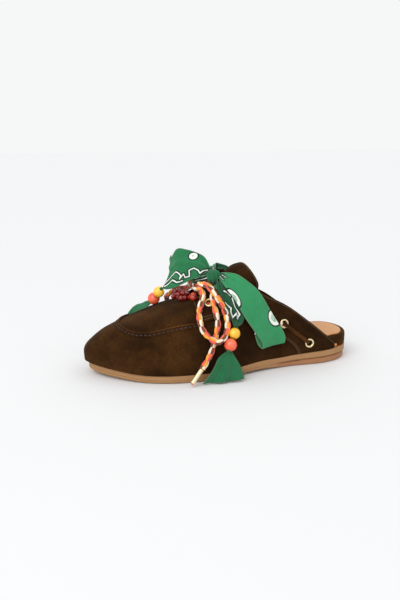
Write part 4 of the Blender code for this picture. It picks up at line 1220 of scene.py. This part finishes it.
def cloth(name, table, side, material, fold, moved=Vector(), steps=10, columns=28):
    """A strip of cloth between the edges of a table, with its folds, and the size of the cut it is made from.

    The cut is measured along the folds, as (width, length, area).
    """
    rows = []
    for i in range(table.places[-1] * steps + 1):
        stop = i / steps
        low, top, drop = edge_at(table, "low", stop), edge_at(table, "top", stop), table.at("drop", stop)
        places = [low.lerp(top, j / columns) for j in range(columns + 1)]
        rows.append([off_last(*place, drop=drop, side=side) + moved for place in places][::side])
    length, uvs, edges, folded = 0.0, [], [], []
    for i, row in enumerate(rows):
        at, shares = i / (len(rows) - 1), [j / columns for j in range(columns + 1)]
        before, after = rows[max(i - 1, 0)], rows[min(i + 1, len(rows) - 1)]
        if i:
            length += (row[columns // 2] - before[columns // 2]).length
        width = (row[-1] - row[0]).length * side
        uvs.append([(length / CLOTH_UNIT, 0.5 + (share - 0.5) * width / CLOTH_UNIT) for share in shares])
        edges.append([(at, share) for share in shares])
        bent = []
        for j, point in enumerate(row):
            normal = (after[j] - before[j]).cross(row[min(j + 1, columns)] - row[max(j - 1, 0)])
            height = fold(at, shares[j] if side > 0 else 1 - shares[j])
            bent.append(point + (normal.normalized() if normal.length else Vector()) * height)
        folded.append(bent)
    sheet = skin(name, folded, material, uvs={"cloth": uvs, "edge": edges})
    breadths = [length_of(row) for row in folded]
    steps_down = [sum((b - a).length for a, b in zip(*pair)) / (columns + 1) for pair in zip(folded, folded[1:])]
    area = sum(down * (one + two) / 2 for down, one, two in zip(steps_down, breadths, breadths[1:]))
    return walled(sheet, CLOTH, 0, 0), (max(breadths), sum(steps_down), area)


def sheet_of(made, nodes):
    piece, (width, length, area) = made
    fitted(piece, "bandana_cotton", *nodes)


LOOP_FRONT = (
    (0.505, 0.323, 0.075, 0.464, 0.372, 0.070), (0.485, 0.235, 0.070, 0.434, 0.299, 0.060),
    (0.468, 0.178, 0.068, 0.401, 0.238, 0.060), (0.448, 0.137, 0.066, 0.371, 0.182, 0.060),
    (0.429, 0.105, 0.062, 0.341, 0.132, 0.060), (0.408, 0.072, 0.060, 0.309, 0.080, 0.060),
)
LOOP_BACK = (
    (0.402, 0.052, 0.044, 0.306, 0.054, 0.044), (0.416, 0.066, 0.026, 0.322, 0.066, 0.028),
    (0.430, 0.112, 0.032, 0.362, 0.130, 0.034), (0.442, 0.164, 0.037, 0.404, 0.186, 0.037),
    (0.458, 0.230, 0.038, 0.432, 0.252, 0.038), (0.478, 0.316, 0.042, 0.457, 0.327, 0.042),
    (0.492, 0.383, 0.056, 0.481, 0.396, 0.056),
)
LOOPS = {
    "outer": ((0.512, 0.406, 0.092, 0.496, 0.427, 0.092), *LOOP_FRONT, *LOOP_BACK),
    "inner": (
        (0.520, 0.530, 0.104, 0.505, 0.530, 0.112), (0.510, 0.425, 0.094, 0.483, 0.445, 0.100),
        *LOOP_FRONT,
        *LOOP_BACK,
    ),
}


def loop_fold(at, share):
    """Gathers that fade away from the knot at both ends, and a slight roll across the strip."""
    gather = ramp(at, 0.22, 0) + ramp(at, 0.80, 1)
    ripple = 0.0007 * gather * sin(share * 2 * pi * 3) * min(gather * 3, 1)
    return ripple + 0.0005 * sin(at * 17 + share * 4) + 0.0007 * (share - 0.5) ** 2


def tail_fold(at, share):
    return 0.0010 * sin(share * 2 * pi * 2.5 + at * 3) + 0.0004 * sin(at * 21)


def fan_fold(at, share):
    return (0.0011 * sin(share * 2 * pi * 2.2 + at * 2) + 0.0003 * sin(share * 2 * pi * 7 + at)) * (0.2 + 0.8 * at)


def end_fold(at, share):
    return 0.0004 * sin(share * 2 * pi * 2.5 + at) * (0.3 + at)


def flap_fold(at, share):
    """A soft crease along the flap's middle, gathers at the knot and a wavy free end."""
    crease = -0.0011 * max(0, 1 - abs(share - 0.60 - 0.08 * at) / 0.10)
    gather = 0.0010 * ramp(at, 0.35, 0) * sin(share * 2 * pi * 3)
    return crease + gather + 0.0011 * sin(at * 7 + share * 3.5) * at + 0.0004 * sin(at * 19)


def band_fold(at, share):
    return 0.0005 * sin(share * 2 * pi * 2) - 0.0002


LOOP_OVALS = (
    (0.0212, -0.0108, 0.0086, 0.0046), (0.0645, 0.0112, 0.0066, 0.0050), (0.1010, 0.0020, 0.0030, 0.0060),
    (0.1390, -0.0060, 0.0070, 0.0035),
)
LOOP_LINES = (
    ((0.1060, -0.0100), (0.1120, -0.0060)),
    ((0.1075, -0.0060), (0.1150, -0.0100)),
    ((0.0010, -0.0015), (0.0052, -0.0030)),
    ((0.0022, 0.0010), (0.0066, 0.0006)),
)
loop_cotton = cotton("loop_cotton", LOOP_OVALS, LOOP_LINES)
for side, word in SIDES:
    made = cloth(f"bandana_{word}_loop", route(*LOOPS[word]), side, loop_cotton, loop_fold)
    sheet_of(made, [f"bandana_loop_{word}"])

plain_cotton = cotton("plain_cotton")
# painted shade: the fan and the knot, with its cores and threads, get darker copies of the same cotton for the shade
# they lie in
shaded_fan_cotton = cotton("shaded_fan_cotton", shade=0.76)
shaded_knot_cotton = cotton("shaded_knot_cotton", shade=0.72, hemmed=False)
band = route(
    (0.535, 0.374, 0.046, 0.505, 0.374, 0.046), (0.535, 0.410, 0.039, 0.505, 0.410, 0.039),
    (0.537, 0.455, 0.012, 0.507, 0.455, 0.012), (0.538, 0.500, 0.004, 0.508, 0.500, 0.004),
    (0.537, 0.545, 0.012, 0.507, 0.545, 0.012), (0.535, 0.590, 0.039, 0.505, 0.590, 0.039),
    (0.535, 0.626, 0.046, 0.505, 0.626, 0.046),
)
made = cloth("bandana_round_instep", band, 1, plain_cotton, band_fold)
sheet_of(made, ["bandana_band"])

outer_tail = route(
    (0.522, 0.402, 0.071, 0.502, 0.395, 0.070), (0.532, 0.355, 0.059, 0.491, 0.330, 0.055),
    (0.532, 0.290, 0.043, 0.479, 0.262, 0.048), (0.522, 0.228, 0.043, 0.464, 0.200, 0.048),
    (0.512, 0.188, 0.048, 0.468, 0.164, 0.046), (0.510, 0.161, 0.066, 0.495, 0.156, 0.064),
)
TAIL_VINE = (
    (0.0225, -0.0046), (0.0291, -0.0026), (0.0329, -0.0043), (0.0384, -0.0046), (0.0345, -0.0004), (0.0400, -0.0010),
    (0.0362, 0.0025), (0.0290, 0.0014), (0.0205, 0.0030),
)
TAIL_LINES = [*zip(TAIL_VINE, TAIL_VINE[1:]), ((0.0120, -0.0010), (0.0180, 0.0022))]
# painted shade: the hanging tail gets a darker copy of the same cotton
shaded_tail_cotton = cotton("shaded_tail_cotton", (), TAIL_LINES, 0.62)
made = cloth("bandana_outer_tail", outer_tail, 1, shaded_tail_cotton, tail_fold)
sheet_of(made, ["bandana_tail_outer"])

flap = route(
    (0.533, 0.452, 0.112, 0.514, 0.466, 0.160), (0.563, 0.462, 0.148, 0.507, 0.483, 0.254),
    (0.595, 0.473, 0.160, 0.516, 0.495, 0.319), (0.631, 0.491, 0.142, 0.540, 0.507, 0.392),
    (0.665, 0.502, 0.123, 0.580, 0.523, 0.439), (0.691, 0.516, 0.128, 0.627, 0.543, 0.370),
    (0.688, 0.550, 0.150, 0.608, 0.560, 0.389),
)
FLAP_VINE = (
    (0.0455, -0.0130), (0.0422, -0.0071), (0.0376, -0.0040), (0.0324, -0.0030), (0.0293, -0.0048), (0.0264, -0.0074),
    (0.0274, -0.0104), (0.0240, -0.0060), (0.0210, -0.0098), (0.0168, -0.0090), (0.0190, -0.0034), (0.0150, -0.0016),
    (0.0109, -0.0033), (0.0086, -0.0056), (0.0060, -0.0022), (0.0026, 0.0004),
)
FLAP_TWIG = ((0.0428, -0.0120), (0.0355, -0.0092), (0.0300, -0.0136), (0.0232, -0.0124))
FLAP_LINES = [*zip(FLAP_VINE, FLAP_VINE[1:]), *zip(FLAP_TWIG, FLAP_TWIG[1:])]
# painted shade: the flap gets a darker copy of the same cotton
shaded_flap_cotton = cotton("shaded_flap_cotton", [(0.0178, 0.0098, 0.0036, 0.0030)], FLAP_LINES, 0.84)
made = cloth("bandana_standing_flap", flap, 1, shaded_flap_cotton, flap_fold)
sheet_of(made, ["bandana_tail_inner"])

# Knot: the strip wrapped tight round itself, so it shows fine pleats that run across it.
KNOT_CENTRE = Vector((0.0106, -0.1058, 0.0872))


def knot_surface(way):
    pleat = 0.0008 * sin(way.y * 13 + way.z * 5 + 3 * noise.noise(way * 1.3)) * way.xy.length
    lump = 0.0010 * noise.noise(way * 1.5 + Vector((3, 1, 7)))
    size = Vector((way.x * 0.0064, way.y * 0.0068, way.z * 0.0066))
    return KNOT_CENTRE + size + way * (pleat + lump)


fitted(ball("bandana_wrapped_knot", 48, 84, knot_surface, shaded_knot_cotton), "bandana_cotton", "bandana_knot")

gather = route(
    (0.530, 0.435, 0.112, 0.516, 0.452, 0.150), (0.553, 0.444, 0.106, 0.538, 0.462, 0.158),
    (0.578, 0.462, 0.112, 0.560, 0.476, 0.160), (0.600, 0.478, 0.122, 0.588, 0.486, 0.156),
)


def gather_fold(at, share):
    return 0.0007 * sin(share * 2 * pi * 3.5 + at * 2)


gather_lines = [((0.001, v), (0.016, v * 0.7)) for v in (-0.0020, 0.0012)]
# painted shade: the gathers get a darker copy of the same cotton
shaded_gather_cotton = cotton("shaded_gather_cotton", (), gather_lines, 0.75)
sheet_of(cloth("bandana_gathers", gather, 1, shaded_gather_cotton, gather_fold), [])

# Beads: turned wooden beads in yellow and coral enamel on the two tails, and a cluster of dark red glass ones
# beside the bow.
YELLOW_RADIUS, CORAL_RADIUS, RED_RADIUS = 0.0051, 0.0057, 0.0032
BEAD_HOLE, CORE_RADIUS = 0.30, 0.00135


def enamel_paint(place, low, high):
    brushed = place.noise(130, 3)
    grain = place.noise(900, 2)
    return {
        "Base Color": brushed.step(0.30, 0.70).blend(low, high),
        "Roughness": grain * 0.12 + 0.26,
        "Normal": (brushed * 0.7 + grain * 0.3).bump(0.00025, 0.7),
    }


ENAMEL = {"Coat Weight": 0.5, "Coat Roughness": 0.15}
YELLOW = finish("yellow_enamel", ENAMEL, enamel_paint, tint(238, 176, 34), tint(252, 206, 72))
CORAL = finish("coral_enamel", ENAMEL, enamel_paint, tint(228, 74, 44), tint(250, 112, 74))
GLASS = {"Coat Weight": 0.6, "Coat Roughness": 0.04, "Specular IOR Level": 0.4}
RED = finish("red_glass", GLASS, enamel_paint, tint(58, 6, 3), tint(128, 18, 7))
BRIGHT_RED = finish("bright_red_glass", GLASS, enamel_paint, tint(132, 22, 10), tint(212, 66, 34))


def bead(name, radius, centre, axis, material, slot, node):
    limit = acos(BEAD_HOLE)
    angles = [limit - 2 * limit * i / 24 for i in range(25)]
    profile = [(radius * cos(a), radius * sin(a)) for a in angles]
    return fitted(lathe(name, profile, [(centre, axis)], material, 40), slot, node)


HUNG = {
    "outer": (Vector((0.0445, -0.0969, 0.0424)), Vector((0.0493, -0.1023, 0.0335))),
    "inner": (Vector((-0.0090, -0.1520, 0.0715)), Vector((-0.0162, -0.1552, 0.0639))),
}
bead_pieces, moved, cores = {}, {}, {}
for word, (yellow, coral) in HUNG.items():
    axis = (coral - yellow).normalized()
    hung = yellow + axis * (YELLOW_RADIUS + CORAL_RADIUS + GAP)
    moved[word] = hung - coral
    bead_pieces[word] = [
        bead(f"yellow_bead_{word}", YELLOW_RADIUS, yellow, axis, YELLOW, "yellow_bead", f"bead_yellow_{word}"),
        bead(f"coral_bead_{word}", CORAL_RADIUS, hung, axis, CORAL, "coral_bead", f"bead_coral_{word}"),
    ]
    cores[word] = (yellow - axis * (YELLOW_RADIUS + 0.0012), hung + axis * (CORAL_RADIUS + 0.0010), axis)
reds = (("back", (0.0152, -0.1259, 0.0702)), ("front", (0.0045, -0.1345, 0.0677)), ("top", (0.0005, -0.1303, 0.0714)))
red_axis = (Vector(reds[1][1]) - Vector(reds[0][1])).normalized()
for word, centre in reds:
    glass = BRIGHT_RED if word == "back" else RED
    bead(f"red_bead_{word}_glass", RED_RADIUS, Vector(centre), red_axis, glass, "red_bead", f"bead_red_{word}")

CHIPS = (
    (0.0012, -0.1393, 0.0738, 0.0027), (0.0029, -0.1375, 0.0706, 0.0030), (0.0024, -0.1352, 0.0744, 0.0026),
    (0.0054, -0.1312, 0.0679, 0.0024), (0.0051, -0.1292, 0.0722, 0.0029), (0.0060, -0.1268, 0.0690, 0.0024),
    (0.0017, -0.1409, 0.0690, 0.0023), (0.0046, -0.1330, 0.0727, 0.0024), (0.0088, -0.1240, 0.0712, 0.0022),
)
BRIGHT_CHIPS = (5, 8)
for k, (*centre, radius) in enumerate(CHIPS):

    def chip_surface(way):
        return Vector(centre) + way * radius * (1 + 0.35 * noise.noise(way * 1.6 + Vector((k * 5, 2, 9))))

    glass = BRIGHT_RED if k in BRIGHT_CHIPS else RED
    fitted(ball(f"red_chip_{k + 1}", 20, 32, chip_surface, glass), "red_bead")

# Tail ends: the raw cloth that spreads below the beads, twisted into a core where it goes through them, with
# loose threads along its cut edge.
fan = route(
    (0.544, 0.0760, 0.064, 0.530, 0.0730, 0.068), (0.576, 0.062, 0.058, 0.521, 0.053, 0.073),
    (0.594, 0.040, 0.065, 0.507, 0.028, 0.092), (0.615, 0.011, 0.087, 0.498, 0.002, 0.112, 0.005),
    (0.631, 0.002, 0.070, 0.496, 0.002, 0.130, 0.064),
)
flap_end = route(
    (0.744, 0.545, 0.036, 0.742, 0.556, 0.052), (0.757, 0.532, 0.026, 0.756, 0.562, 0.062),
    (0.766, 0.522, 0.024, 0.772, 0.566, 0.058), (0.789, 0.530, 0.022, 0.791, 0.579, 0.060),
    (0.810, 0.545, 0.016, 0.810, 0.582, 0.046), (0.825, 0.556, 0.009, 0.827, 0.575, 0.023),
)


def core(name, start, end, axis):
    """The twisted stretch of cloth inside a pair of beads."""
    side = axis.orthogonal().normalized()
    rows = []
    for i in range(25):
        centre = start.lerp(end, i / 24)
        row = []
        for turn in ring_turns(20):
            radius = CORE_RADIUS + 0.00018 * sin(turn * 4 + i * 0.5)
            row.append(centre + Matrix.Rotation(turn, 3, axis) @ side * radius)
        rows.append(row)
    return fitted(capped(skin(name, rows, shaded_knot_cotton, closed=True)), "bandana_cotton")


def loose_threads(name, ends, count, spread):
    """Short tapering threads that stand out of a cut edge, given as (point, direction) at each place."""
    points, faces = [], []
    for k in range(count):
        point, away = ends[k * (len(ends) - 1) // max(count - 1, 1)]
        shake = Vector([noise.noise(Vector((k * 1.7 + n * 9, 3.1, n))) for n in range(3)])
        reach = (0.35 + 0.65 * abs(noise.noise(Vector((k * 0.9, 7, 1))) * 2)) * spread
        tip = point + (away + shake * 0.7).normalized() * reach
        tip.z = max(tip.z, 0.0004)
        line = [point - away * 0.0006, point.lerp(tip, 0.5) + shake * 0.0003, tip]
        base = len(points)
        for place, radius in zip(line, (0.00013, 0.00011, 0.00005)):
            for turn in ring_turns(3):
                points.append(place + Vector((radius * cos(turn), radius * sin(turn), radius * sin(turn * 2))))
        for step in (0, 3):
            for n in range(3):
                m = (n + 1) % 3
                faces.append((base + step + n, base + step + m, base + step + 3 + m, base + step + 3 + n))
        faces += [(base + 2, base + 1, base), (base + 6, base + 7, base + 8)]
    mesh = bpy.data.meshes.new(name)
    mesh.from_pydata([tuple(p) for p in points], [], faces)
    mesh.materials.append(shaded_knot_cotton)
    return fitted(outward(linked(name, mesh)), "bandana_cotton")


def edge_ends(table, word):
    """Places along the raw bottom edge and the last part of its back edge, with the way out of the cloth."""
    last = table.places[-1]

    def place(stop, share):
        across = edge_at(table, "low", stop).lerp(edge_at(table, "top", stop), share)
        return off_last(*across, drop=table.at("drop", stop)) + moved[word]

    pairs = [(place(last, k / 40), place(last - 0.3, k / 40)) for k in range(41)]
    pairs += [(place(last - 2.2 * k / 20, 1), place(last - 2.2 * k / 20, 0.8)) for k in range(20)]
    return [(point, (point - within).normalized()) for point, within in pairs]


def tack_surface(way):
    return tack_place + Vector((way.x * 0.0008, way.y * 0.0013, way.z * 0.0013))


ORANGE_THREAD = finish("orange_thread", THREAD, thread_paint, tint(196, 92, 32), tint(226, 124, 54))
fitted(ball("thread_tack", 12, 16, tack_surface, ORANGE_THREAD), "suede")

core_pieces = {word: core(f"bandana_{word}_core", *cores[word]) for word in cores}
for word, table, fold, name, node, threads, spread in (
    ("outer", fan, fan_fold, "bandana_outer_fan", "bandana_tail_end_outer", 90, 0.0022),
    ("inner", flap_end, end_fold, "bandana_inner_end", "bandana_tail_end_inner", 24, 0.0010),
):
    fringe = loose_threads(f"{name}_threads", edge_ends(table, word), threads, spread)
    made = cloth(name, table, 1, shaded_fan_cotton, fold, moved[word], columns=40)
    sheet_of(made, [node])
